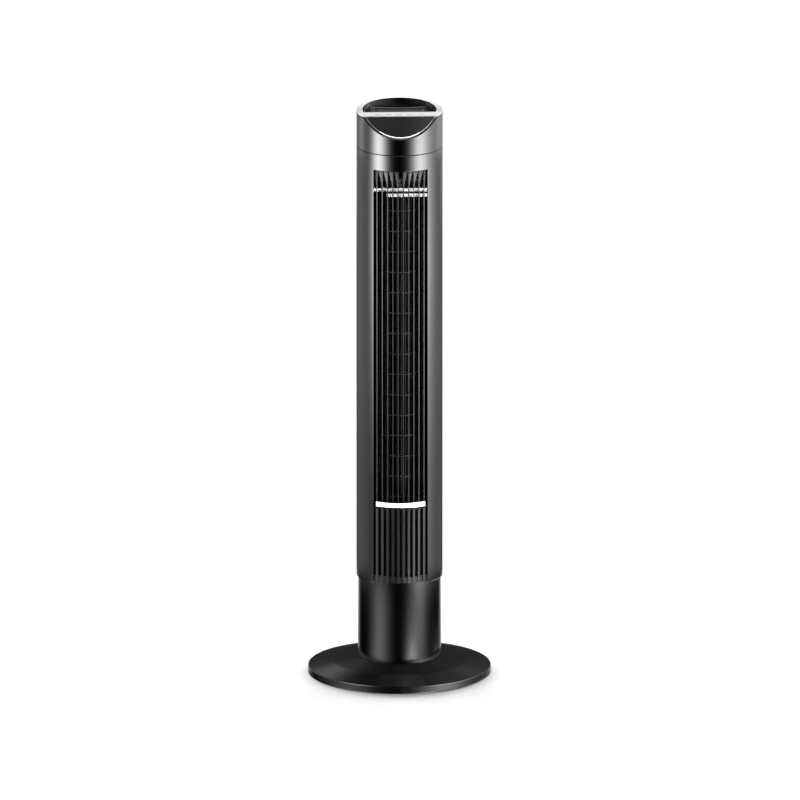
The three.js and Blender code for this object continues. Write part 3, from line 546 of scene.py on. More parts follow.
under_black = moulding(
    "under_black", (0.012, 0.012, 0.012), 0.5, smear=0.08, dust=0.05, grain_scale=2500, grain=0.25
)
foot_rubber = moulding(
    "foot_rubber", (0.013, 0.013, 0.013), 0.8, smear=0.08, dust=0.1, grain_scale=3200, grain=0.3
)
cast_iron = moulding("cast_iron", (0.04, 0.04, 0.042), 0.75, smear=0.1, dust=0.1, grain_scale=900, grain=0.9)


def paint_node(node, material):
    """Puts a material on a CAD node that keeps its own shape."""
    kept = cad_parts[node]
    for slot_index in range(len(kept.material_slots)):
        kept.material_slots[slot_index].material = material


paint_node("base_plate", under_black)
paint_node("base_weight", cast_iron)

FOOT_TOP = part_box("foot_1")[1].z / MM
FOOT_SECTION = rounded_loop([(0, 0, 0), (9, 0, 0.7), (9, FOOT_TOP, 0.3), (0, FOOT_TOP, 0)])
for number in range(1, 7):
    name = f"foot_{number}"
    foot_low, foot_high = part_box(name)
    foot = turned_piece(name, FOOT_SECTION, steps=40)
    foot.data.transform(
        Matrix.Translation(((foot_low.x + foot_high.x) / 2, (foot_low.y + foot_high.y) / 2, 0))
    )
    fit(foot, foot_rubber, "stand", "rubber", name)


# ---- Lead grommet ----
# A black rubber grommet in a small flat at the back of the rim, where the mains lead goes in.

gland_low, gland_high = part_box("cord_gland")
gland_outline = rounded_loop([
    (2.6, 150, 0), (4, 150, 0), (4, 158.1, 0), (5, 158.1, 0.2), (5, 160, 0.6), (2.6, 160, 0.5),
])
cord_gland = turned_piece("cord_gland", gland_outline, steps=36)
cord_gland.data.transform(
    Matrix.Translation((0, 0, (gland_low.z + gland_high.z) / 2)) @ Matrix.Rotation(-math.pi / 2, 4, "X")
)
fit(cord_gland, foot_rubber, "stand", "rubber", "cord_gland")


# ---- Neck column ----
# A polished black tube that hardly tapers, moulded with a flange at its foot and a shelf near its top.
# Four screws from below hold it to the base, and the tower turns on its top. Polished pieces don't mirror it.

neck_low, neck_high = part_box("neck_column")
NECK_FOOT = neck_low.z / MM
NECK_TOP = neck_high.z / MM
NECK_RADIUS = neck_high.x / MM
NECK_TOP_RADIUS = 71.9
NECK_WALL = 3
FLANGE_BORE = 20
FLANGE_THICKNESS = 4
SHELF_BORE = 62
SHELF_TOP = 171.7
SHELF_THICKNESS = 4
neck_bore = NECK_TOP_RADIUS - NECK_WALL
neck_outline = rounded_loop([
    (FLANGE_BORE, NECK_FOOT, 0.3), (NECK_RADIUS, NECK_FOOT, 0.5), (NECK_TOP_RADIUS, NECK_TOP, 0.6),
    (neck_bore, NECK_TOP, 0.6), (neck_bore, SHELF_TOP, 0), (SHELF_BORE, SHELF_TOP, 0.3),
    (SHELF_BORE, SHELF_TOP - SHELF_THICKNESS, 0.3), (neck_bore, SHELF_TOP - 2 * SHELF_THICKNESS, 0),
    (NECK_RADIUS - NECK_WALL, NECK_FOOT + FLANGE_THICKNESS, 1),
    (FLANGE_BORE, NECK_FOOT + FLANGE_THICKNESS, 0.3),
])
neck_column = turned_piece("neck_column", neck_outline, steps=160)
fit(neck_column, polished_black, "stand", "gloss_black", "neck_column")
neck_column.visible_glossy = False


# ---- Steel pieces ----
# Zinc plated turned and pressed parts: the pivot plate, post and nut, the motor cans, the shaft and pin,
# and the cross-headed screws, which are drawn with their recess.

def plated_steel():
    """Zinc plate with a faint brushed grain along Z."""
    made, nodes, links, output = new_material("plated_steel")
    place = nodes.new("ShaderNodeTexCoord")
    stretch = nodes.new("ShaderNodeMapping")
    stretch.inputs["Scale"].default_value = (1, 1, 30)
    brush = nodes.new("ShaderNodeTexNoise")
    brush.inputs["Scale"].default_value = 260
    brush.inputs["Detail"].default_value = 4
    links.new(place.outputs["Object"], stretch.inputs["Vector"])
    links.new(stretch.outputs["Vector"], brush.inputs["Vector"])
    tone = nodes.new("ShaderNodeValToRGB")
    tone.color_ramp.elements[0].color = (0.42, 0.43, 0.45, 1)
    tone.color_ramp.elements[1].color = (0.66, 0.67, 0.68, 1)
    links.new(brush.outputs["Fac"], tone.inputs[0])
    shader = nodes.new("ShaderNodeBsdfPrincipled")
    shader.inputs["Metallic"].default_value = 1
    links.new(tone.outputs[0], shader.inputs["Base Color"])
    rough = calculate(made.node_tree, "MULTIPLY_ADD", brush.outputs["Fac"], 0.25, 0.22)
    links.new(rough, shader.inputs["Roughness"])
    bump = nodes.new("ShaderNodeBump")
    bump.inputs["Strength"].default_value = 0.15
    bump.inputs["Distance"].default_value = 0.0002
    links.new(brush.outputs["Fac"], bump.inputs["Height"])
    links.new(bump.outputs["Normal"], shader.inputs["Normal"])
    links.new(shader.outputs[0], output.inputs["Surface"])
    return made


steel = plated_steel()
for node in (
    "pivot_plate", "pivot_post", "pivot_nut", "oscillation_motor", "fan_motor", "motor_shaft",
    "impeller_pin"
):
    paint_node(node, steel)


def cross_screw(name, head_radius, head_height, shank_radius, length):
    """A cross-headed screw along +Z in mm: head at the bottom with its recess, then the shank."""
    outline = rounded_loop([
        (0, 0.9, 0), (head_radius * 0.3, 0.9, 0), (head_radius * 0.42, 0, 0.1), (head_radius, 0, 0.8),
        (head_radius, head_height, 0.2), (shank_radius, head_height, 0), (shank_radius, length - 2, 0),
        (0, length, 0),
    ], steps=3)
    return turned_piece(name, outline, steps=28)


for number in range(1, 5):
    name = f"neck_screw_{number}"
    screw_low, screw_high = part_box(name)
    length = (screw_high.z - screw_low.z) / MM
    screw = cross_screw(name, 4.6, 3.5, 2.5, length)
    middle = (screw_low + screw_high) / 2
    screw.data.transform(Matrix.Translation((middle.x, middle.y, screw_low.z)))
    fit(screw, steel, "stand", "steel", name)

for number in range(1, 5):
    name = f"shell_screw_{number}"
    screw_low, screw_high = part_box(name)
    length = (screw_high.y - screw_low.y) / MM
    screw = cross_screw(name, 3.6, 2.6, 1.5, length)
    middle = (screw_low + screw_high) / 2
    laid = Matrix.Rotation(math.pi / 2, 4, "X")
    screw.data.transform(Matrix.Translation((middle.x, screw_high.y, middle.z)) @ laid)
    fit(screw, steel, "tower", "steel", name)


# ---- Oscillation gears and slide ring ----
# Natural nylon mouldings between the neck and the turntable: a fixed ring gear, the pinion that rolls on
# it, and the ring that the tower slides on.

natural_nylon = moulding(
    "natural_nylon", (0.74, 0.72, 0.66), 0.45, smear=0.06, dust=0.05, grain_scale=1500, grain=0.1
)
for node in ("ring_gear", "slide_ring", "oscillation_pinion"):
    paint_node(node, natural_nylon)


# ---- Tower shells ----
# Two half tubes of black ABS, polished like the base but a little softer in their shine. The front one
# has the outlet window cut down to its foot; the back one is pierced by rows of upright intake slots.

softer_black = moulding(
    "softer_black", (0.0012, 0.0012, 0.0013), 0.11, smear=0.02, dust=0.004, grain_scale=500, grain=0.02
)

shell_low, shell_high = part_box("front_shell")
BODY_RADIUS = shell_high.x / MM
SHELL_WALL = 2.5
SHELL_BOTTOM = shell_low.z / MM
SHELL_TOP = shell_high.z / MM
WINDOW_HALF = 47.4
WINDOW_TOP = 915.0
PARTING = 0.15
window_angle = math.degrees(math.asin(WINDOW_HALF / BODY_RADIUS))
parting_angle = 90 - math.degrees(PARTING / BODY_RADIUS)


def steps_between(start, end, count):
    """Values from start to end in count equal steps, both ends included."""
    return [start + (end - start) * i / count for i in range(count + 1)]


def bent_sheet(name, columns, rows, keep):
    """A sheet on the tower's surface, by column angles in degrees and row heights in mm; keep picks cells."""
    points = []
    for height in rows:
        for degrees in columns:
            angle = math.radians(degrees)
            points.append(
                (BODY_RADIUS * MM * math.sin(angle), -BODY_RADIUS * MM * math.cos(angle), height * MM)
            )
    width = len(columns)
    faces = []
    for row in range(len(rows) - 1):
        for column in range(width - 1):
            if keep(columns[column], columns[column + 1], rows[row], rows[row + 1]):
                corner = row * width + column
                faces.append((corner, corner + 1, corner + 1 + width, corner + width))
    mesh = bpy.data.meshes.new(name)
    mesh.from_pydata(points, [], faces)
    loose = bmesh.new()
    loose.from_mesh(mesh)
    bmesh.ops.delete(loose, geom=[v for v in loose.verts if not v.link_faces], context="VERTS")
    loose.to_mesh(mesh)
    loose.free()
    return mesh


def walled(name, mesh, wall, edge, edge_steps=3):
    """Gives a sheet its wall, inwards, and rounds its edges; the result is a plain mesh."""
    sheet = link_piece(name + "_sheet", mesh)
    solid = sheet.modifiers.new("wall", "SOLIDIFY")
    solid.thickness = wall * MM
    solid.offset = -1
    solid.use_even_offset = True
    if edge:
        bevel = sheet.modifiers.new("edge", "BEVEL")
        bevel.width = edge * MM
        bevel.segments = edge_steps
        bevel.limit_method = "ANGLE"
        bevel.angle_limit = math.radians(50)
    view = bpy.context.evaluated_depsgraph_get()
    plain = bpy.data.meshes.new_from_object(sheet.evaluated_get(view))
    bpy.data.objects.remove(sheet)
    plain.name = name
    return finished_mesh(name, plain)


front_columns = sorted(set(
    steps_between(-parting_angle, -window_angle, 26) + steps_between(-window_angle, window_angle, 40)
    + steps_between(window_angle, parting_angle, 26)
))
EDGE_SUPPORT = 1.6
edge_degrees = math.degrees(EDGE_SUPPORT / BODY_RADIUS)
front_columns = sorted(set(front_columns + [
    side * (angle + inset) for side in (-1, 1)
    for angle, inset in (
        (parting_angle, -edge_degrees), (window_angle, edge_degrees), (window_angle, -edge_degrees)
    )
]))
front_rows = sorted(set(
    steps_between(SHELL_BOTTOM, WINDOW_TOP, 12) + steps_between(WINDOW_TOP, SHELL_TOP, 3)
    + [SHELL_BOTTOM + EDGE_SUPPORT, WINDOW_TOP + EDGE_SUPPORT, SHELL_TOP - EDGE_SUPPORT]
))


def outside_window(left, right, low, high):
    """Whether a cell of the front sheet is beside or above the window."""
    return abs((left + right) / 2) > window_angle or low >= WINDOW_TOP - 0.01


front_shell = walled(
    "front_shell", bent_sheet("front_shell", front_columns, front_rows, outside_window), SHELL_WALL, 0.6
)
fit(front_shell, softer_black, "tower", "gloss_black", "front_shell")


# The intake: one cell of the sheet, with its slot, is repeated flat and then bent round the tower.
CELL_WIDTH_DEGREES = 5.0
CELL_HEIGHT = 49.0
INTAKE_COLUMNS = 26
INTAKE_ROWS = 12
INTAKE_BOTTOM = 325.0
SLOT_WIDTH = 3.4
SLOT_LENGTH = 43.0
cell_width = math.radians(CELL_WIDTH_DEGREES) * BODY_RADIUS


def slot_cell():
    """A flat cell in X and Z, with a round-ended slot through its middle."""
    half_width = SLOT_WIDTH / 2
    straight = SLOT_LENGTH / 2 - half_width
    arc = 6
    slot = []
    for end, turn in ((straight, 0.0), (-straight, math.pi)):
        for i in range(arc + 1):
            angle = turn + math.pi * i / arc
            slot.append((half_width * math.cos(angle), end + half_width * math.sin(angle)))
    side, rise = cell_width / 2, CELL_HEIGHT / 2
    frame_points = [(side, rise), (0, rise), (-side, rise), (-side, -rise), (0, -rise), (side, -rise)]
    points = [(x * MM, 0, z * MM) for x, z in slot + frame_points]
    top_start, top_mid, bottom_start, bottom_mid = 0, arc // 2, arc + 1, arc + 1 + arc // 2
    last = len(slot)
    upper_right, upper_mid, upper_left, lower_left, lower_mid, lower_right = range(last, last + 6)
    faces = [
        (*range(top_start, top_mid + 1), upper_mid, upper_right)[::-1],
        (*range(top_mid, arc + 1), upper_left, upper_mid)[::-1],
        (arc, bottom_start, lower_left, upper_left)[::-1],
        (*range(bottom_start, bottom_mid + 1), lower_mid, lower_left)[::-1],
        (*range(bottom_mid, last), lower_right, lower_mid)[::-1],
        (last - 1, top_start, upper_right, lower_right)[::-1],
    ]
    mesh = bpy.data.meshes.new("intake_cell")
    mesh.from_pydata(points, [], faces)
    return link_piece("intake_cell", mesh)


def new_tree(name, inputs):
    """A Geometry Nodes tree with named inputs, its group input and its group output."""
    tree = bpy.data.node_groups.new(name, "GeometryNodeTree")
    for label, kind, value in inputs:
        socket = tree.interface.new_socket(label, in_out="INPUT", socket_type=kind)
        if value is not None:
            socket.default_value = value
    tree.interface.new_socket("Geometry", in_out="OUTPUT", socket_type="NodeSocketGeometry")
    return tree, tree.nodes.new("NodeGroupInput"), tree.nodes.new("NodeGroupOutput")


def grown(name, tree, values):
    """Runs a Geometry Nodes tree with its values, and gives the result as a plain mesh."""
    carrier = link_piece(name + "_grower", bpy.data.meshes.new(name + "_grower"))
    modifier = carrier.modifiers.new("grow", "NODES")
    modifier.node_group = tree
    for socket in tree.interface.items_tree:
        if socket.item_type == "SOCKET" and socket.in_out == "INPUT" and socket.name in values:
            modifier[socket.identifier] = values[socket.name]
    view = bpy.context.evaluated_depsgraph_get()
    mesh = bpy.data.meshes.new_from_object(carrier.evaluated_get(view))
    carrier.modifiers.clear()
    bpy.data.objects.remove(carrier)
    mesh.name = name
    return mesh


def intake_tree():
    """Copies of a cell on a flat grid, bent together round the back of the tower and welded."""
    tree, given, result = new_tree("intake_slots", [
        ("Cell", "NodeSocketObject", None), ("Columns", "NodeSocketInt", 2), ("Rows", "NodeSocketInt", 2),
        ("Cell Width", "NodeSocketFloat", 0.006), ("Cell Height", "NodeSocketFloat", 0.05),
        ("Bottom", "NodeSocketFloat", 0.3), ("Radius", "NodeSocketFloat", 0.075),
        ("Material", "NodeSocketMaterial", None),
    ])
    links = tree.links
    width = calculate(
        tree, "MULTIPLY", given.outputs["Cell Width"],
        calculate(tree, "SUBTRACT", given.outputs["Columns"], 1)
    )
    height = calculate(
        tree, "MULTIPLY", given.outputs["Cell Height"],
        calculate(tree, "SUBTRACT", given.outputs["Rows"], 1)
    )
    grid = tree.nodes.new("GeometryNodeMeshGrid")
    links.new(width, grid.inputs["Size X"])
    links.new(height, grid.inputs["Size Y"])
    links.new(given.outputs["Columns"], grid.inputs["Vertices X"])
    links.new(given.outputs["Rows"], grid.inputs["Vertices Y"])
    upright = tree.nodes.new("GeometryNodeTransform")
    upright.inputs["Rotation"].default_value = (math.pi / 2, 0, 0)
    links.new(grid.outputs["Mesh"], upright.inputs["Geometry"])
    cell = tree.nodes.new("GeometryNodeObjectInfo")
    links.new(given.outputs["Cell"], cell.inputs["Object"])
    copies = tree.nodes.new("GeometryNodeInstanceOnPoints")
    links.new(upright.outputs["Geometry"], copies.inputs["Points"])
    links.new(cell.outputs["Geometry"], copies.inputs["Instance"])
    real = tree.nodes.new("GeometryNodeRealizeInstances")
    links.new(copies.outputs["Instances"], real.inputs["Geometry"])
    # Bend: the distance along X becomes an angle about Z, measured from the back.
    where = tree.nodes.new("GeometryNodeInputPosition")
    split = tree.nodes.new("ShaderNodeSeparateXYZ")
    links.new(where.outputs[0], split.inputs[0])
    angle = calculate(tree, "DIVIDE", split.outputs["X"], given.outputs["Radius"])
    bent_x = calculate(
        tree, "MULTIPLY", calculate(tree, "SINE", angle),
        calculate(tree, "MULTIPLY", given.outputs["Radius"], -1)
    )
    bent_y = calculate(tree, "MULTIPLY", calculate(tree, "COSINE", angle), given.outputs["Radius"])
    centre = calculate(tree, "MULTIPLY_ADD", height, 0.5, given.outputs["Bottom"])
    raised = calculate(
        tree, "ADD", split.outputs["Z"],
        calculate(tree, "MULTIPLY_ADD", given.outputs["Cell Height"], 0.5, centre)
    )
    joinxyz = tree.nodes.new("ShaderNodeCombineXYZ")
    for value, socket in zip((bent_x, bent_y, raised), joinxyz.inputs):
        links.new(value, socket)
    bend = tree.nodes.new("GeometryNodeSetPosition")
    links.new(real.outputs[0], bend.inputs["Geometry"])
    links.new(joinxyz.outputs[0], bend.inputs["Position"])
    weld = tree.nodes.new("GeometryNodeMergeByDistance")
    weld.inputs["Distance"].default_value = 0.00005
    links.new(bend.outputs[0], weld.inputs["Geometry"])
    paint = tree.nodes.new("GeometryNodeSetMaterial")
    links.new(weld.outputs[0], paint.inputs["Geometry"])
    links.new(given.outputs["Material"], paint.inputs["Material"])
    links.new(paint.outputs[0], result.inputs[0])
    return tree


cell = slot_cell()
intake = grown("intake", intake_tree(), {
    "Cell": cell, "Columns": INTAKE_COLUMNS, "Rows": INTAKE_ROWS, "Cell Width": cell_width * MM,
    "Cell Height": CELL_HEIGHT * MM, "Bottom": INTAKE_BOTTOM * MM, "Radius": BODY_RADIUS * MM,
    "Material": softer_black,
})
bpy.data.objects.remove(cell)

intake_half = INTAKE_COLUMNS * CELL_WIDTH_DEGREES / 2
intake_top = INTAKE_BOTTOM + INTAKE_ROWS * CELL_HEIGHT
rear_columns = (
    steps_between(180 - parting_angle, 180 - intake_half, 10)
    + steps_between(180 - intake_half, 180 + intake_half, INTAKE_COLUMNS * 2)[1:]
    + steps_between(180 + intake_half, 360 - parting_angle, 10)[1:]
)
rear_rows = (
    steps_between(SHELL_BOTTOM, INTAKE_BOTTOM, 3) + steps_between(INTAKE_BOTTOM, intake_top, INTAKE_ROWS)[1:]
    + steps_between(intake_top, SHELL_TOP, 2)[1:]
)


def outside_intake(left, right, low, high):
    """Whether a cell of the rear sheet is outside the field of slots."""
    beside = abs((left + right) / 2 - 180) > intake_half
    return beside or (low + high) / 2 < INTAKE_BOTTOM or (low + high) / 2 > intake_top


def merged_mesh(name, meshes, weld=2e-5):
    """Several meshes in one, welded where they meet."""
    work = bmesh.new()
    for mesh in meshes:
        work.from_mesh(mesh)
    bmesh.ops.remove_doubles(work, verts=work.verts, dist=weld)
    mesh = bpy.data.meshes.new(name)
    work.to_mesh(mesh)
    work.free()
    return mesh


rear_sheet = merged_mesh(
    "rear_shell", [bent_sheet("rear_sheet", rear_columns, rear_rows, outside_intake), intake]
)
work = bmesh.new()
work.from_mesh(rear_sheet)
bmesh.ops.recalc_face_normals(work, faces=work.faces)
probe = max(work.faces, key=lambda face: face.calc_area())
if probe.normal.dot(probe.calc_center_median() * Vector((1, 1, 0))) < 0:
    bmesh.ops.reverse_faces(work, faces=work.faces)
work.to_mesh(rear_sheet)
work.free()
rear_shell = walled("rear_shell", rear_sheet, SHELL_WALL, 0)
fit(rear_shell, softer_black, "tower", "gloss_black", "rear_shell")


# ---- Outlet grille ----
# One satin black moulding behind the window. Ten thin slats stand on a sill, and flare into one another
# below the top of the window. Under the sill, broad ribs stand in front of a panel, down to an apron.

# Its shine is dimmed by painted shade in the narrow gaps between its slats and ribs.
grille_black = moulding(
    "grille_black", (0.006, 0.006, 0.0065), 0.36, smear=0.05, dust=0.02, grain_scale=1800, grain=0.08,
    fixed={"Specular IOR Level": 0.3}, gap_shade_reach=0.012
)

SLATS = 10
SLAT_PITCH = 9.1
SLAT_THICKNESS = 1.9
SLAT_DEPTH = 8.0
GRILLE_RADIUS = 72.2
SILL_HEIGHT = 311.0
FLARE_BOTTOM = 885.0
FLARE_DEPTH = 6.0
RIB_WIDTH = 4.2
RIB_DEPTH = 8.4
RIB_RADIUS = 74.3
RIB_FOOT = 188.0
APRON_FOOT = 177.0
APRON_DEPTH = 1.3


def upright_bar(name, section, low, high, levels=1):
    """A bar along Z from a closed (x, y) section in mm, where y = 0 is its front."""
    size = len(section)
    points = []
    for level in range(levels + 1):
        z = low + (high - low) * level / levels
        points += [(x * MM, y * MM, z * MM) for x, y in section]
    faces = [tuple(reversed(range(size))), tuple(range(levels * size, (levels + 1) * size))]
    for level in range(levels):
        for i in range(size):
            j = (i + 1) % size
            faces.append((level * size + i, level * size + j, (level + 1) * size + j, (level + 1) * size + i))
    return mesh_piece(name, points, faces)


def arched_row_tree():
    """Copies of a piece along X at an even pitch, each pushed back so that its front follows an arch."""
    tree, given, result = new_tree("arched_row", [
        ("Piece", "NodeSocketObject", None), ("Count", "NodeSocketInt", 2),
        ("Pitch", "NodeSocketFloat", 0.009), ("First", "NodeSocketFloat", 0.0),
        ("Arch Radius", "NodeSocketFloat", 0.07),
        ("Material", "NodeSocketMaterial", None),
    ])
    links = tree.links
    line = tree.nodes.new("GeometryNodeMeshLine")
    start = tree.nodes.new("ShaderNodeCombineXYZ")
    offset = tree.nodes.new("ShaderNodeCombineXYZ")
    links.new(given.outputs["First"], start.inputs["X"])
    links.new(given.outputs["Pitch"], offset.inputs["X"])
    links.new(given.outputs["Count"], line.inputs["Count"])
    links.new(start.outputs[0], line.inputs["Start Location"])
    links.new(offset.outputs[0], line.inputs["Offset"])
    piece = tree.nodes.new("GeometryNodeObjectInfo")
    links.new(given.outputs["Piece"], piece.inputs["Object"])
    copies = tree.nodes.new("GeometryNodeInstanceOnPoints")
    links.new(line.outputs["Mesh"], copies.inputs["Points"])
    links.new(piece.outputs["Geometry"], copies.inputs["Instance"])
    real = tree.nodes.new("GeometryNodeRealizeInstances")
    links.new(copies.outputs["Instances"], real.inputs["Geometry"])
    where = tree.nodes.new("GeometryNodeInputPosition")
    split = tree.nodes.new("ShaderNodeSeparateXYZ")
    links.new(where.outputs[0], split.inputs[0])
    radius_square = calculate(tree, "MULTIPLY", given.outputs["Arch Radius"], given.outputs["Arch Radius"])
    x_square = calculate(tree, "MULTIPLY", split.outputs["X"], split.outputs["X"])
    depth = calculate(tree, "SQRT", calculate(tree, "SUBTRACT", radius_square, x_square))
    move = tree.nodes.new("ShaderNodeCombineXYZ")
    links.new(calculate(tree, "MULTIPLY", depth, -1), move.inputs["Y"])
    push = tree.nodes.new("GeometryNodeSetPosition")
    links.new(real.outputs[0], push.inputs["Geometry"])
    links.new(move.outputs[0], push.inputs["Offset"])
    paint = tree.nodes.new("GeometryNodeSetMaterial")
    links.new(push.outputs[0], paint.inputs["Geometry"])
    links.new(given.outputs["Material"], paint.inputs["Material"])
    links.new(paint.outputs[0], result.inputs[0])
    return tree


arched_row = arched_row_tree()


def row_of(name, piece, count, pitch, first, arch_radius, material):
    """A row of copies of a piece as one mesh, with its sizes in mm."""
    return grown(name, arched_row, {
        "Piece": piece, "Count": count, "Pitch": pitch * MM, "First": first * MM,
        "Arch Radius": arch_radius * MM, "Material": material,
    })


def arch(name, inner, outer, half_width, low, high, edge, steps=48):
    """A bar bent along the front of the tower, between two radii, with its ends at half_width."""
    half_angle = math.degrees(math.asin(half_width / outer))
    outline = rounded_loop(
        [(inner, low, edge), (outer, low, edge), (outer, high, edge), (inner, high, edge)], steps=3
    )
    return turned_piece(name, outline, steps=steps, start=-half_angle, sweep=2 * half_angle)


half = SLAT_THICKNESS / 2
slat_section = rounded_loop(
    [(-half, 0, 0.5), (-half, SLAT_DEPTH, 0.3), (half, SLAT_DEPTH, 0.3), (half, 0, 0.5)], steps=4
)
slat = upright_bar("slat", slat_section, SILL_HEIGHT, WINDOW_TOP + 1, levels=2)
first_slat = -SLAT_PITCH * (SLATS - 1) / 2
slat_row = row_of("slat_row", slat, SLATS, SLAT_PITCH, first_slat, GRILLE_RADIUS, grille_black)
bpy.data.objects.remove(slat)


def flare_piece(name, side):
    """The web that spreads from a slat towards the next, as a concave curve; side is -1 or 1."""
    rise = WINDOW_TOP + 1 - FLARE_BOTTOM
    gap = SLAT_PITCH - SLAT_THICKNESS
    levels = 12
    points = []
    for level in range(levels + 1):
        share = level / levels
        reach = gap * (0.12 * share + 0.93 * share ** 1.7)
        z = FLARE_BOTTOM + rise * share
        inner = side * (half - 0.3)
        outer = side * (half + min(reach, gap + 0.3))
        slope = 1.2 * share
        for x, y in ((inner, 0.15), (outer, 0.3 + slope), (outer, FLARE_DEPTH), (inner, FLARE_DEPTH)):
            points.append((x * MM, y * MM, z * MM))
    faces = [(0, 1, 2, 3), tuple(4 * levels + i for i in (3, 2, 1, 0))]
    for level in range(levels):
        for i in range(4):
            j = (i + 1) % 4
            faces.append((4 * level + i, 4 * (level + 1) + i, 4 * (level + 1) + j, 4 * level + j))
    return mesh_piece(name, points, faces)


flare_rows = []
for side in (-1, 1):
    flare = flare_piece("flare", side)
    first = SLAT_PITCH / 2 if side > 0 else first_slat
    count = SLATS // 2
    flare_rows.append(row_of("flare_row", flare, count, SLAT_PITCH, first, GRILLE_RADIUS, grille_black))
    bpy.data.objects.remove(flare)

rib_half = RIB_WIDTH / 2
rib_section = rounded_loop(
    [(-rib_half, 0, 0.7), (-rib_half, RIB_DEPTH, 0), (rib_half, RIB_DEPTH, 0), (rib_half, 0, 0.7)], steps=5
)
rib = upright_bar("rib", rib_section, RIB_FOOT, SILL_HEIGHT - 1)
rib_row = row_of("rib_row", rib, SLATS, SLAT_PITCH, first_slat, RIB_RADIUS, grille_black)
bpy.data.objects.remove(rib)
apron_section = rounded_loop(
    [(-rib_half, 0, 0.6), (-rib_half, APRON_DEPTH, 0.2), (rib_half, APRON_DEPTH, 0.2), (rib_half, 0, 0.6)],
    steps=3
)
apron = upright_bar("apron", apron_section, APRON_FOOT, RIB_FOOT + 1)
apron_row = row_of("apron_row", apron, SLATS, SLAT_PITCH, first_slat, RIB_RADIUS, grille_black)
bpy.data.objects.remove(apron)

grille_half = WINDOW_HALF - 0.3
bars = [
    arch("header", 66, GRILLE_RADIUS, grille_half, WINDOW_TOP, WINDOW_TOP + 4, 0.3),
    arch("sill", 66, GRILLE_RADIUS, grille_half, SILL_HEIGHT - 3, SILL_HEIGHT + 3, 0.6),
    arch("apron_panel", 72.6, 73.0, grille_half, APRON_FOOT + 0.5, RIB_FOOT, 0.1),
    arch("grille_panel", 66, 68, grille_half, APRON_FOOT + 5, SILL_HEIGHT, 0.3),
]
grille_meshes = [slat_row, *flare_rows, rib_row, apron_row, *(bar.data for bar in bars)]
outlet_grille = finished_mesh(
    "outlet_grille", merged_mesh("outlet_grille", grille_meshes, weld=0), smooth_angle=40
)
for bar in bars:
    bpy.data.objects.remove(bar)
fit(outlet_grille, grille_black, "tower", "satin_black", "outlet_grille")


# ---- Bright trim of the outlet ----
# Plated plastic: one broad band across the front of the slats at the sill, and two narrower bars behind
# them near the top of the window.

def bright_plate(name, roughness):
    """Chrome plate over plastic, a little hazy."""
    made, nodes, links, output = new_material(name)
    place = nodes.new("ShaderNodeTexCoord")
    haze = nodes.new("ShaderNodeTexNoise")
    haze.inputs["Scale"].default_value = 60
    haze.inputs["Detail"].default_value = 4
    links.new(place.outputs["Object"], haze.inputs["Vector"])
    shader = nodes.new("ShaderNodeBsdfPrincipled")
    tone = nodes.new("ShaderNodeValToRGB")
    tone.color_ramp.elements[0].color = (0.86, 0.87, 0.88, 1)
    tone.color_ramp.elements[1].color = (0.95, 0.95, 0.96, 1)
    links.new(haze.outputs["Fac"], tone.inputs[0])
    links.new(tone.outputs[0], shader.inputs["Base Color"])
    shader.inputs["Metallic"].default_value = 1
    rough = calculate(made.node_tree, "MULTIPLY_ADD", haze.outputs["Fac"], 0.1, roughness)
    links.new(rough, shader.inputs["Roughness"])
    links.new(shader.outputs[0], output.inputs["Surface"])
    return made


chrome = bright_plate("bright_plate", roughness=0.42)
band_low, band_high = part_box("chrome_band")
BAND_INNER = 72.6
BAND_OUTER = BODY_RADIUS - 0.4
BAND_END_GAP = 1
BAND_EDGE_GAP = 0.8
chrome_band = arch(
    "chrome_band", BAND_INNER, BAND_OUTER, band_high.x / MM - BAND_END_GAP,
    band_low.z / MM + BAND_EDGE_GAP, band_high.z / MM - BAND_EDGE_GAP, 0.9, steps=64
)
fit(chrome_band, chrome, "tower", "chrome", "chrome_band")


def straight_bar(name, low, high):
    """A straight bar between two corners, with a bulging front face."""
    middle = (low.z + high.z) / 2
    half = (high.z - low.z) / 2
    bulge = 0.0012
    steps = 6
    front = [
        (low.y + bulge * (step / steps) ** 2, middle + half * step / steps)
        for step in range(-steps, steps + 1)
    ]
    outline = front + [(high.y, high.z), (high.y, low.z)]
    size = len(outline)
    points = [(x, y, z) for x in (low.x, high.x) for y, z in outline]
    faces = [tuple(range(size)), tuple(reversed(range(size, 2 * size)))]
    faces += [(i, (i + 1) % size, size + (i + 1) % size, size + i) for i in range(size)]
    return mesh_piece(name, points, faces)


bar_plate = bright_plate("bar_plate", roughness=0.5)
for name in ("chrome_bar_upper", "chrome_bar_lower"):
    fit(straight_bar(name, *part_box(name)), bar_plate, "tower", "chrome", name)


# ---- Air duct, decks and turntable ----
# Dull black mouldings inside the tower: the scroll and tongue round the impeller, the decks that close
# the duct at both ends, and the turntable under the motors.

duct_black = moulding(
    "duct_black", (0.006, 0.006, 0.006), 0.6, smear=0.06, dust=0.08, grain_scale=1500, grain=0.2
)
for node in ("duct_scroll", "duct_tongue", "motor_deck", "top_deck", "turntable"):
    paint_node(node, duct_black)

wire_sleeve = moulding(
    "wire_sleeve", (0.012, 0.012, 0.013), 0.5, smear=0.05, dust=0.05, grain_scale=3000, grain=0.4
)
soft_rubber = moulding(
    "soft_rubber", (0.011, 0.011, 0.011), 0.7, smear=0.08, dust=0.05, grain_scale=3000, grain=0.3
)
paint_node("wire_loom", wire_sleeve)
paint_node("top_bearing", soft_rubber)
paint_node("impeller_hub", soft_rubber)


# ---- Impeller ----
# A cross-flow impeller, welded up from fifteen glass-filled plastic sections: curved blades all round,
# with a disc between each two sections and one at either end.

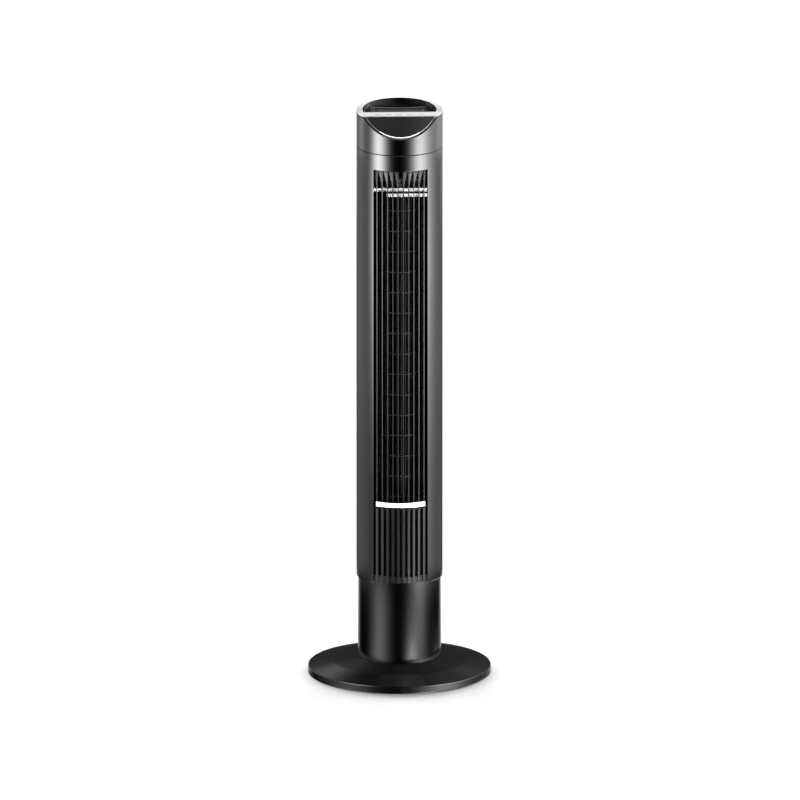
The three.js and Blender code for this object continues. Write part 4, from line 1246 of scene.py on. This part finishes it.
impeller_black = moulding(
    "impeller_black", (0.006, 0.006, 0.0065), 0.45, smear=0.05, dust=0.03, grain_scale=2200, grain=0.15
)

impeller_low, impeller_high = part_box("impeller")
IMPELLER_RADIUS = impeller_high.x / MM
IMPELLER_BOTTOM = impeller_low.z / MM
IMPELLER_TOP = impeller_high.z / MM
IMPELLER_BORE = 27
IMPELLER_DISCS = 16
DISC_THICKNESS = 2
IMPELLER_BLADES = 34


def blade_piece():
    """One blade of the full height, thin and curved, at the front of the impeller."""
    arc = 5
    outer_face = []
    for i in range(arc + 1):
        share = i / arc
        radius = 30.5 + 10.7 * share
        bend = 2.6 * math.sin(math.pi * share * 0.8) - 3.4 * (1 - share)
        outer_face.append((bend, -radius))
    inner_face = [(x + 1.0, y + 0.2) for x, y in reversed(outer_face)]
    section = outer_face + inner_face
    return upright_bar("blade", section, IMPELLER_BOTTOM + 1, IMPELLER_TOP - 1)


def disc_piece():
    """One of the open discs that the blades run through."""
    outline = rounded_loop(
        [
            (IMPELLER_BORE, 0, 0.3), (IMPELLER_RADIUS, 0, 0.5), (IMPELLER_RADIUS, DISC_THICKNESS, 0.5),
            (IMPELLER_BORE, DISC_THICKNESS, 0.3),
        ], steps=2
    )
    return turned_piece("impeller_disc", outline, steps=64)


def ringed_tree():
    """Copies of one piece in a circle about Z, and of another in a stack up Z."""
    tree, given, result = new_tree("ringed_and_stacked", [
        ("Ringed", "NodeSocketObject", None), ("Ring Count", "NodeSocketInt", 2),
        ("Stacked", "NodeSocketObject", None), ("Stack Count", "NodeSocketInt", 2),
        ("Stack Bottom", "NodeSocketFloat", 0.0), ("Stack Pitch", "NodeSocketFloat", 0.1),
        ("Material", "NodeSocketMaterial", None),
    ])
    links = tree.links
    real = tree.nodes.new("GeometryNodeRealizeInstances")
    both = tree.nodes.new("GeometryNodeJoinGeometry")
    for source, count, turning in (("Ringed", "Ring Count", True), ("Stacked", "Stack Count", False)):
        line = tree.nodes.new("GeometryNodeMeshLine")
        links.new(given.outputs[count], line.inputs["Count"])
        offset = tree.nodes.new("ShaderNodeCombineXYZ")
        start = tree.nodes.new("ShaderNodeCombineXYZ")
        if not turning:
            links.new(given.outputs["Stack Pitch"], offset.inputs["Z"])
            links.new(given.outputs["Stack Bottom"], start.inputs["Z"])
        links.new(offset.outputs[0], line.inputs["Offset"])
        links.new(start.outputs[0], line.inputs["Start Location"])
        piece = tree.nodes.new("GeometryNodeObjectInfo")
        links.new(given.outputs[source], piece.inputs["Object"])
        copies = tree.nodes.new("GeometryNodeInstanceOnPoints")
        links.new(line.outputs["Mesh"], copies.inputs["Points"])
        links.new(piece.outputs["Geometry"], copies.inputs["Instance"])
        if turning:
            index = tree.nodes.new("GeometryNodeInputIndex")
            turn = calculate(
                tree, "MULTIPLY", index.outputs[0],
                calculate(tree, "DIVIDE", math.tau, given.outputs[count])
            )
            rotation = tree.nodes.new("ShaderNodeCombineXYZ")
            links.new(turn, rotation.inputs["Z"])
            links.new(rotation.outputs[0], copies.inputs["Rotation"])
        links.new(copies.outputs["Instances"], both.inputs[0])
    links.new(both.outputs[0], real.inputs["Geometry"])
    paint = tree.nodes.new("GeometryNodeSetMaterial")
    links.new(real.outputs[0], paint.inputs["Geometry"])
    links.new(given.outputs["Material"], paint.inputs["Material"])
    links.new(paint.outputs[0], result.inputs[0])
    return tree


blade = blade_piece()
impeller_disc = disc_piece()
disc_pitch = (IMPELLER_TOP - IMPELLER_BOTTOM - DISC_THICKNESS) / (IMPELLER_DISCS - 1)
impeller_mesh = grown("impeller", ringed_tree(), {
    "Ringed": blade, "Ring Count": IMPELLER_BLADES, "Stacked": impeller_disc, "Stack Count": IMPELLER_DISCS,
    "Stack Bottom": IMPELLER_BOTTOM * MM, "Stack Pitch": disc_pitch * MM, "Material": impeller_black,
})
bpy.data.objects.remove(blade)
bpy.data.objects.remove(impeller_disc)
end_caps = []
cap_radius = IMPELLER_BORE + 0.5
for bottom in (IMPELLER_BOTTOM, IMPELLER_TOP - DISC_THICKNESS):
    top = bottom + DISC_THICKNESS
    cap_outline = rounded_loop([(0, bottom, 0), (cap_radius, bottom, 0), (cap_radius, top, 0), (0, top, 0)])
    end_caps.append(turned_piece("impeller_cap", cap_outline, steps=48))
impeller = finished_mesh(
    "impeller", merged_mesh("impeller", [impeller_mesh, *(cap.data for cap in end_caps)], weld=0)
)
for cap in end_caps:
    bpy.data.objects.remove(cap)
fit(impeller, impeller_black, "rotor", "impeller_black", "impeller")


# ---- Head shell ----
# A short tube of the same black, cut by the slope that carries the display, with its rim a little higher
# behind the buttons. It plugs into the tower, and a thin dark seam shows between them.

head_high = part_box("head_shell")[1]
RIM_RISE = 4.6
HEAD_BOTTOM = 944.3
STRIP_LIFT = 1.3
HEAD_TOP = head_high.z / MM - RIM_RISE + STRIP_LIFT
bezel_low, bezel_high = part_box("control_bezel")
BEZEL_TOP = bezel_high.z / MM - RIM_RISE
BEZEL_BOTTOM = bezel_low.z / MM + STRIP_LIFT
SLOPE_TOP_Y = -37.5
SLOPE_FRONT_Z = 973.0
slope_rise = (BEZEL_TOP - SLOPE_FRONT_Z) / (BODY_RADIUS + SLOPE_TOP_Y)


def slope_height(y):
    """Height in mm of the sloping face at y."""
    return BEZEL_TOP + (y - SLOPE_TOP_Y) * slope_rise


RISE_START = -20.0
RISE_END = 12.0


def rim_rise(y):
    """How far the head's top edge has risen at y: none at the strip, then up to level arms behind."""
    share = min(1, max(0, (y - RISE_START) / (RISE_END - RISE_START)))
    return RIM_RISE * share * share * (3 - 2 * share)


def head_rim(degrees, radius):
    """Height in mm of the head's cut edge, by degrees from the front."""
    y = -radius * math.cos(math.radians(degrees))
    return min(HEAD_TOP + rim_rise(y), slope_height(y))


def head_tube(name, outer, inner, bottom, steps=192):
    """A tube cut off by the flat top and by the slope, with a small bevel round its cut edge."""
    points = []
    bevel = 1.3
    for station in range(steps):
        degrees = 360 * station / steps
        angle = math.radians(degrees)
        rim_outer = head_rim(degrees, outer)
        rim_inner = head_rim(degrees, inner)
        column = [
            (outer - 0.25, bottom), (outer, bottom + 0.25), (outer, bottom + 0.8),
            (outer, rim_outer - bevel - 0.6)
        ]
        column += [
            (outer - bevel * (1 - math.cos(turn)), rim_outer - bevel * (1 - math.sin(turn)))
            for turn in (0, math.pi / 8, math.pi / 4, math.pi * 3 / 8)
        ]
        column += [
            (outer - bevel, rim_outer), (inner + 0.2, rim_inner), (inner, rim_inner - 0.2), (inner, bottom)
        ]
        for radius, height in column:
            points.append((radius * MM * math.sin(angle), -radius * MM * math.cos(angle), height * MM))
    size = len(column)
    faces = []
    for station in range(steps):
        here, there = station * size, ((station + 1) % steps) * size
        for i in range(size):
            j = (i + 1) % size
            faces.append((here + i, here + j, there + j, there + i))
    return mesh_piece(name, points, faces, smooth_angle=28)


head_tube_piece = head_tube("head_tube", BODY_RADIUS, BODY_RADIUS - SHELL_WALL, HEAD_BOTTOM)
SPIGOT_BOTTOM = 938
SPIGOT_STEP = 946
SPIGOT_TOP = 950
spigot_inner = BODY_RADIUS - 5
spigot_low_outer = BODY_RADIUS - 3
spigot_high_outer = BODY_RADIUS - 2.6
spigot_outline = rounded_loop([
    (spigot_inner, SPIGOT_BOTTOM, 0.4), (spigot_low_outer, SPIGOT_BOTTOM, 0.4),
    (spigot_low_outer, SPIGOT_STEP, 0), (spigot_high_outer, SPIGOT_STEP, 0),
    (spigot_high_outer, SPIGOT_TOP, 0), (spigot_inner, SPIGOT_TOP, 0.4),
])
spigot = turned_piece("head_spigot", spigot_outline)
head_shell = finished_mesh(
    "head_shell", merged_mesh("head_shell", [head_tube_piece.data, spigot.data], weld=0), smooth_angle=28
)
bpy.data.objects.remove(head_tube_piece)
bpy.data.objects.remove(spigot)
fit(head_shell, softer_black, "tower", "gloss_black", "head_shell")


# ---- Display window and its silver line ----
# A smoked window lies in the slope, and a thin silver line runs round its curved lower edge.

def smoked_window():
    """Dark smoked plastic under a thin clear coat."""
    made, nodes, links, output = new_material("smoked_window")
    skin = nodes.new("ShaderNodeGroup")
    skin.node_tree = moulded_skin
    skin.inputs["Color"].default_value = (0.0155, 0.0155, 0.0165, 1)
    skin.inputs["Roughness"].default_value = 0.3
    skin.inputs["Smear"].default_value = 0.05
    skin.inputs["Dust"].default_value = 0.02
    skin.inputs["Grain Scale"].default_value = 900
    shader = nodes.new("ShaderNodeBsdfPrincipled")
    links.new(skin.outputs["Color"], shader.inputs["Base Color"])
    links.new(skin.outputs["Roughness"], shader.inputs["Roughness"])
    shader.inputs["Coat Weight"].default_value = 0.4
    shader.inputs["Coat Roughness"].default_value = 0.05
    links.new(shader.outputs[0], output.inputs["Surface"])
    return made


def sloping_outline(radius, edge_y, count=96):
    """Points of the arc of a radius in front of edge_y, from left to right."""
    half_angle = math.acos(-edge_y / radius)
    turns = [half_angle * (2 * i / count - 1) for i in range(count + 1)]
    return [(radius * math.sin(turn), -radius * math.cos(turn)) for turn in turns]


def slope_plate(name, outline, below, above, edge):
    """A plate on the slope over an (x, y) outline, between two depths square to it, its top edge rounded."""
    across = math.cos(math.atan(slope_rise))
    centre = Vector((sum(x for x, y in outline) / len(outline), sum(y for x, y in outline) / len(outline)))
    size = len(outline)
    points = []
    for depth, inset in ((below, 0), (above - edge, 0), (above - edge * 0.3, edge * 0.3), (above, edge)):
        for x, y in outline:
            inward = (centre - Vector((x, y))).normalized() * inset
            px, py = x + inward.x, y + inward.y
            points.append((px * MM, py * MM, (slope_height(py) + depth / across) * MM))
    faces = [tuple(range(size)), tuple(reversed(range(3 * size, 4 * size)))]
    for level in range(3):
        for i in range(size):
            j = (i + 1) % size
            faces.append((level * size + i, (level + 1) * size + i, (level + 1) * size + j, level * size + j))
    return mesh_piece(name, points, faces, smooth_angle=30)


PANEL_EDGE_Y = SLOPE_TOP_Y - 1.2
TRIM_OUTER = BODY_RADIUS - SHELL_WALL - 0.3
TRIM_WIDTH = 0.7
panel = slope_plate(
    "display_panel", sloping_outline(TRIM_OUTER - TRIM_WIDTH - 0.3, PANEL_EDGE_Y), -2.8, -0.5, 0.4
)
fit(panel, smoked_window(), "tower", "display_window", "display_panel")


def silver_lacquer():
    """Silver lacquer with fine flakes under a thin clear coat."""
    made, nodes, links, output = new_material("silver_lacquer")
    place = nodes.new("ShaderNodeTexCoord")
    flake = nodes.new("ShaderNodeTexNoise")
    flake.inputs["Scale"].default_value = 5200
    flake.inputs["Detail"].default_value = 2
    links.new(place.outputs["Object"], flake.inputs["Vector"])
    tone = nodes.new("ShaderNodeValToRGB")
    tone.color_ramp.elements[0].position = 0.35
    tone.color_ramp.elements[1].position = 0.65
    tone.color_ramp.elements[0].color = (0.80, 0.80, 0.81, 1)
    tone.color_ramp.elements[1].color = (0.92, 0.92, 0.925, 1)
    links.new(flake.outputs["Fac"], tone.inputs[0])
    shader = nodes.new("ShaderNodeBsdfPrincipled")
    links.new(tone.outputs[0], shader.inputs["Base Color"])
    rough = calculate(made.node_tree, "MULTIPLY_ADD", flake.outputs["Fac"], 0.15, 0.28)
    links.new(rough, shader.inputs["Roughness"])
    shader.inputs["Metallic"].default_value = 0.1
    shader.inputs["Coat Weight"].default_value = 0.3
    shader.inputs["Coat Roughness"].default_value = 0.12
    bump = nodes.new("ShaderNodeBump")
    bump.inputs["Strength"].default_value = 0.08
    bump.inputs["Distance"].default_value = 0.0001
    links.new(flake.outputs["Fac"], bump.inputs["Height"])
    links.new(bump.outputs["Normal"], shader.inputs["Normal"])
    links.new(shader.outputs[0], output.inputs["Surface"])
    return made


silver = silver_lacquer()
bright_metal = bright_plate("bright_metal", roughness=0.1)


def trim_ring():
    """A narrow ring whose top is bevelled outwards, so that its sides catch more light than its front."""
    across = math.cos(math.atan(slope_rise))
    inner = TRIM_OUTER - TRIM_WIDTH
    rings = ((TRIM_OUTER, -2.8), (TRIM_OUTER, -1.0), (inner + 0.2, -0.1), (inner, -0.2), (inner, -2.8))
    points = []
    for radius, depth in rings:
        for x, y in sloping_outline(radius, PANEL_EDGE_Y):
            points.append((x * MM, y * MM, (slope_height(y) + depth / across) * MM))
    size = len(points) // len(rings)
    faces = [tuple(number * size for number in range(len(rings))),
             tuple(number * size + size - 1 for number in reversed(range(len(rings))))]
    for number in range(len(rings)):
        following = (number + 1) % len(rings)
        for i in range(size - 1):
            faces.append(
                (number * size + i, following * size + i, following * size + i + 1, number * size + i + 1)
            )
    return mesh_piece("display_trim", points, faces, smooth_angle=30)


fit(trim_ring(), bright_metal, "tower", "silver_paint", "display_trim")


# ---- Control strip ----
# A silver lacquered moulding on the flat top: a strip with five button holes across the front, and arms
# that run back round the tray. Its edges are softly rounded.

TRAY_RADIUS = 64.0
TRAY_EDGE_Y = -12.0
BUTTON_PITCH = 18.8
BUTTON_LENGTH = 11.0
BUTTON_WIDTH = 8.0
BEZEL_RADIUS = bezel_high.x / MM
button_row_y = (SLOPE_TOP_Y + TRAY_EDGE_Y) / 2
BUTTONS = ("power", "speed", "mode", "swing", "timer")


def arc_points(radius, start_degrees, end_degrees, count):
    """Points of a circle about Z, by degrees from the front, in X and Y."""
    made = []
    for i in range(count + 1):
        angle = math.radians(start_degrees + (end_degrees - start_degrees) * i / count)
        made.append((radius * math.sin(angle), -radius * math.cos(angle)))
    return made


def capsule(x, y, length, width, count=10):
    """The outline of a round-ended slot about (x, y)."""
    radius = width / 2
    reach = length / 2 - radius
    made = []
    for side, turn in ((1, -math.pi / 2), (-1, math.pi / 2)):
        for i in range(count + 1):
            angle = turn + math.pi * i / count
            made.append((x + side * reach + radius * math.cos(angle), y + radius * math.sin(angle)))
    return made


def flat_plate(name, outlines, low, high, edge):
    """A plate over flat outlines, of which the second and later are holes, with rounded edges."""
    curve = bpy.data.curves.new(name, "CURVE")
    curve.dimensions = "2D"
    curve.fill_mode = "BOTH"
    curve.bevel_depth = edge * MM
    curve.bevel_resolution = 2
    curve.offset = -edge * MM
    curve.extrude = ((high - low) / 2 - edge) * MM
    for outline in outlines:
        spline = curve.splines.new("POLY")
        spline.points.add(len(outline) - 1)
        for point, (x, y) in zip(spline.points, outline):
            point.co = (x * MM, y * MM, 0, 1)
        spline.use_cyclic_u = True
    shape = link_piece(name + "_curve", curve)
    view = bpy.context.evaluated_depsgraph_get()
    mesh = bpy.data.meshes.new_from_object(shape.evaluated_get(view))
    bpy.data.objects.remove(shape)
    mesh.transform(Matrix.Translation((0, 0, (high + low) / 2 * MM)))
    mesh.name = name
    return finished_mesh(name, mesh, smooth_angle=40)


front_turn = math.degrees(math.acos(-SLOPE_TOP_Y / BEZEL_RADIUS))
tray_turn = math.degrees(math.acos(-(TRAY_EDGE_Y - 0.3) / (TRAY_RADIUS + 0.3)))
bezel_outer = arc_points(BEZEL_RADIUS, front_turn, 360 - front_turn, 150)
tray_hole = arc_points(TRAY_RADIUS + 0.3, tray_turn, 360 - tray_turn, 140)
button_places = [BUTTON_PITCH * (i - (len(BUTTONS) - 1) / 2) for i in range(len(BUTTONS))]
button_holes = [capsule(x, button_row_y, BUTTON_LENGTH + 1, BUTTON_WIDTH + 1) for x in button_places]
bezel = flat_plate("control_bezel", [bezel_outer, tray_hole, *button_holes], BEZEL_BOTTOM, BEZEL_TOP, 0.5)
raised = bmesh.new()
raised.from_mesh(bezel.data)
bmesh.ops.triangulate(raised, faces=[face for face in raised.faces if len(face.verts) > 4])
for cut in range(17):
    across = RISE_START + (RISE_END - RISE_START) * cut / 16
    parts = raised.verts[:] + raised.edges[:] + raised.faces[:]
    bmesh.ops.bisect_plane(raised, geom=parts, dist=1e-7, plane_co=(0, across * MM, 0), plane_no=(0, 1, 0))
for vert in raised.verts:
    vert.co.z += rim_rise(vert.co.y / MM) * MM
raised.to_mesh(bezel.data)
raised.free()
fit(bezel, silver, "tower", "silver_paint", "control_bezel")


# ---- Buttons ----
# Five silver push buttons with a softly domed, slightly dished top, each on a skirt that keeps it in.

def button_piece(name, x):
    """A button with its middle at x: each ring of it has a height, and a growth of the outline there."""
    button_low, button_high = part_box(name)
    top = button_high.z / MM
    bottom = button_low.z / MM
    rings = [
        (bottom, 3.0), (bottom + 1.2, 3.0), (bottom + 1.2, 0.0), (top - 1.0, 0.0), (top - 0.55, -0.25),
        (top - 0.2, -0.8), (top, -1.6), (top - 0.15, -3.2), (top - 0.3, -5.0),
    ]
    points = []
    outline_size = 0
    for height, grow in rings:
        outline = capsule(x, button_row_y, BUTTON_LENGTH + grow, max(BUTTON_WIDTH + grow, 0.4))
        outline_size = len(outline)
        points += [(px * MM, py * MM, height * MM) for px, py in outline]
    faces = [tuple(reversed(range(outline_size)))]
    for level in range(len(rings) - 1):
        for i in range(outline_size):
            j = (i + 1) % outline_size
            here = level * outline_size
            faces.append((here + i, here + j, here + outline_size + j, here + outline_size + i))
    last = (len(rings) - 1) * outline_size
    faces.append(tuple(range(last, last + outline_size)))
    return mesh_piece(name, points, faces, smooth_angle=50)


for label, x in zip(BUTTONS, button_places):
    name = "button_" + label
    fit(button_piece(name, x), silver, name, "silver_paint", name)


# ---- Top tray ----
# A polished black tray behind the strip. Its rim rises towards the back, its floor dips to a well with a
# rounded lip, and the remote control is kept in the well.

tray_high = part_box("top_tray")[1]
TRAY_TOP = tray_high.z / MM
WELL_HALF = 46.5
WELL_FRONT_Y = TRAY_EDGE_Y + 2.5
WELL_REAR_Y = 30.0
WELL_FLOOR = 986.0
WELL_CORNER = 5
TRAY_FLOOR = 1004.6
TRAY_MIDDLE_SHIFT = 6
TRAY_POINTS = 240


def tray_outline(radius, edge_y):
    """Points round a D, with an arc at the back and a straight front edge, by angle from its middle."""
    middle_y = (radius + edge_y) / 2 - TRAY_MIDDLE_SHIFT
    made = []
    for i in range(TRAY_POINTS):
        angle = math.tau * i / TRAY_POINTS
        dx, dy = math.sin(angle), -math.cos(angle)
        b = middle_y * dy
        reach = -b + math.sqrt(b * b + radius * radius - middle_y * middle_y)
        if dy < -1e-6:
            reach = min(reach, (edge_y - middle_y) / dy)
        made.append((dx * reach, middle_y + dy * reach))
    return made


def well_outline(grow, corner):
    """The well's rounded rectangle, grown by some mm, by angle from the tray's middle."""
    middle_y = (TRAY_RADIUS + TRAY_EDGE_Y) / 2 - TRAY_MIDDLE_SHIFT
    half_x = WELL_HALF + grow
    y_front, y_rear = WELL_FRONT_Y - min(grow, 2.0), WELL_REAR_Y + grow
    corner = max(corner + grow, 0.5)
    centre_y, half_y = (y_front + y_rear) / 2, (y_rear - y_front) / 2
    made = []
    for i in range(TRAY_POINTS):
        angle = math.tau * i / TRAY_POINTS
        dx, dy = math.sin(angle), -math.cos(angle)
        low, high = 0.0, 200.0
        for _ in range(40):
            reach = (low + high) / 2
            qx = abs(dx * reach) - (half_x - corner)
            qy = abs(middle_y + dy * reach - centre_y) - (half_y - corner)
            outside = math.hypot(max(qx, 0), max(qy, 0)) + min(max(qx, qy), 0) - corner
            if outside > 0:
                high = reach
            else:
                low = reach
        made.append((dx * low, middle_y + dy * low))
    return made


def tray_rim_height(y):
    """The rim falls from the back towards the strip."""
    share = (TRAY_RADIUS - y) / (TRAY_RADIUS - TRAY_EDGE_Y)
    return TRAY_TOP - (TRAY_TOP - BEZEL_TOP - 1.0) * share ** 1.2


def tray_floor_height(x, y):
    """The floor dips softly towards the well, and stays under the rim."""
    rim = tray_rim_height(y)
    return min(rim - 1.2, TRAY_FLOOR + 0.0009 * (x * x + max(y, 0) ** 2))


def top_tray_piece():
    """The tray as a stack of loops: up its outside, over the rim, down the well, and back underneath."""
    outer = tray_outline(TRAY_RADIUS, TRAY_EDGE_Y)
    loops = []

    def level(outline, height):
        """Adds a loop at a height, which is a number or a rule of x and y."""
        loops.append([(x, y, height(x, y) if callable(height) else height) for x, y in outline])

    def between(first, second, share):
        """A loop part of the way from the first to the second."""
        return [(a[0] + (b[0] - a[0]) * share, a[1] + (b[1] - a[1]) * share) for a, b in zip(first, second)]

    bottom = BEZEL_BOTTOM - 4
    lip = well_outline(3.0, WELL_CORNER)
    well = well_outline(0.0, WELL_CORNER)
    under_well = well_outline(2.4, WELL_CORNER)
    level(between(outer, under_well, 0.2), bottom)
    level(outer, bottom)
    level(outer, lambda x, y: tray_rim_height(y) - 0.9)
    level(tray_outline(TRAY_RADIUS - 0.3, TRAY_EDGE_Y + 0.1), lambda x, y: tray_rim_height(y) - 0.25)
    level(tray_outline(TRAY_RADIUS - 1.0, TRAY_EDGE_Y + 0.3), lambda x, y: tray_rim_height(y))
    level(tray_outline(TRAY_RADIUS - 2.6, TRAY_EDGE_Y + 0.6), lambda x, y: tray_rim_height(y) - 0.1)
    inner_rim = tray_outline(TRAY_RADIUS - 4.0, TRAY_EDGE_Y + 0.8)
    level(inner_rim, lambda x, y: tray_rim_height(y) - 0.9)
    for share in (0.12, 0.3, 0.55, 0.8):
        level(between(inner_rim, lip, share), lambda x, y, dip=min(1, share * 3): (
            tray_floor_height(x, y) * dip + (tray_rim_height(y) - 0.9) * (1 - dip)
        ))
    level(lip, tray_floor_height)
    level(well_outline(1.5, WELL_CORNER), lambda x, y: tray_floor_height(x, y) - 0.25)
    level(well_outline(0.5, WELL_CORNER), lambda x, y: tray_floor_height(x, y) - 1.1)
    level(well, lambda x, y: tray_floor_height(x, y) - 2.4)
    level(well_outline(-0.6, WELL_CORNER), WELL_FLOOR + 2)
    level(well_outline(-1.4, WELL_CORNER), WELL_FLOOR + 0.6)
    level(well_outline(-3.0, WELL_CORNER), WELL_FLOOR)
    floor_loop = len(loops) - 1
    level(well_outline(1.0, 4), WELL_FLOOR - 2.5)
    level(under_well, WELL_FLOOR - 1)
    level(under_well, bottom)
    points = [(x * MM, y * MM, z * MM) for loop in loops for x, y, z in loop]
    faces = []
    size = TRAY_POINTS
    for number in range(len(loops)):
        following = (number + 1) % len(loops)
        if number == floor_loop:
            continue
        for i in range(size):
            j = (i + 1) % size
            faces.append((number * size + i, number * size + j, following * size + j, following * size + i))
    faces.append(tuple(floor_loop * size + i for i in range(size)))
    faces.append(tuple((floor_loop + 1) * size + i for i in reversed(range(size))))
    return mesh_piece("top_tray", points, faces, smooth_angle=32)


top_tray = top_tray_piece()
fit(top_tray, polished_black, "tower", "gloss_black", "top_tray")


# ---- Circuit boards ----
# Green boards under the buttons and behind the window, with a faint weave under the solder mask.

def green_board():
    """Green solder mask over a woven board."""
    made, nodes, links, output = new_material("green_board")
    place = nodes.new("ShaderNodeTexCoord")
    weave = nodes.new("ShaderNodeTexBrick")
    weave.inputs["Scale"].default_value = 900
    weave.inputs["Color1"].default_value = (0.012, 0.1, 0.04, 1)
    weave.inputs["Color2"].default_value = (0.02, 0.14, 0.06, 1)
    weave.inputs["Mortar"].default_value = (0.01, 0.07, 0.03, 1)
    links.new(place.outputs["Object"], weave.inputs["Vector"])
    shader = nodes.new("ShaderNodeBsdfPrincipled")
    links.new(weave.outputs["Color"], shader.inputs["Base Color"])
    shader.inputs["Roughness"].default_value = 0.35
    links.new(shader.outputs[0], output.inputs["Surface"])
    return made


board_green = green_board()
for node in ("control_board", "display_board"):
    paint_node(node, board_green)
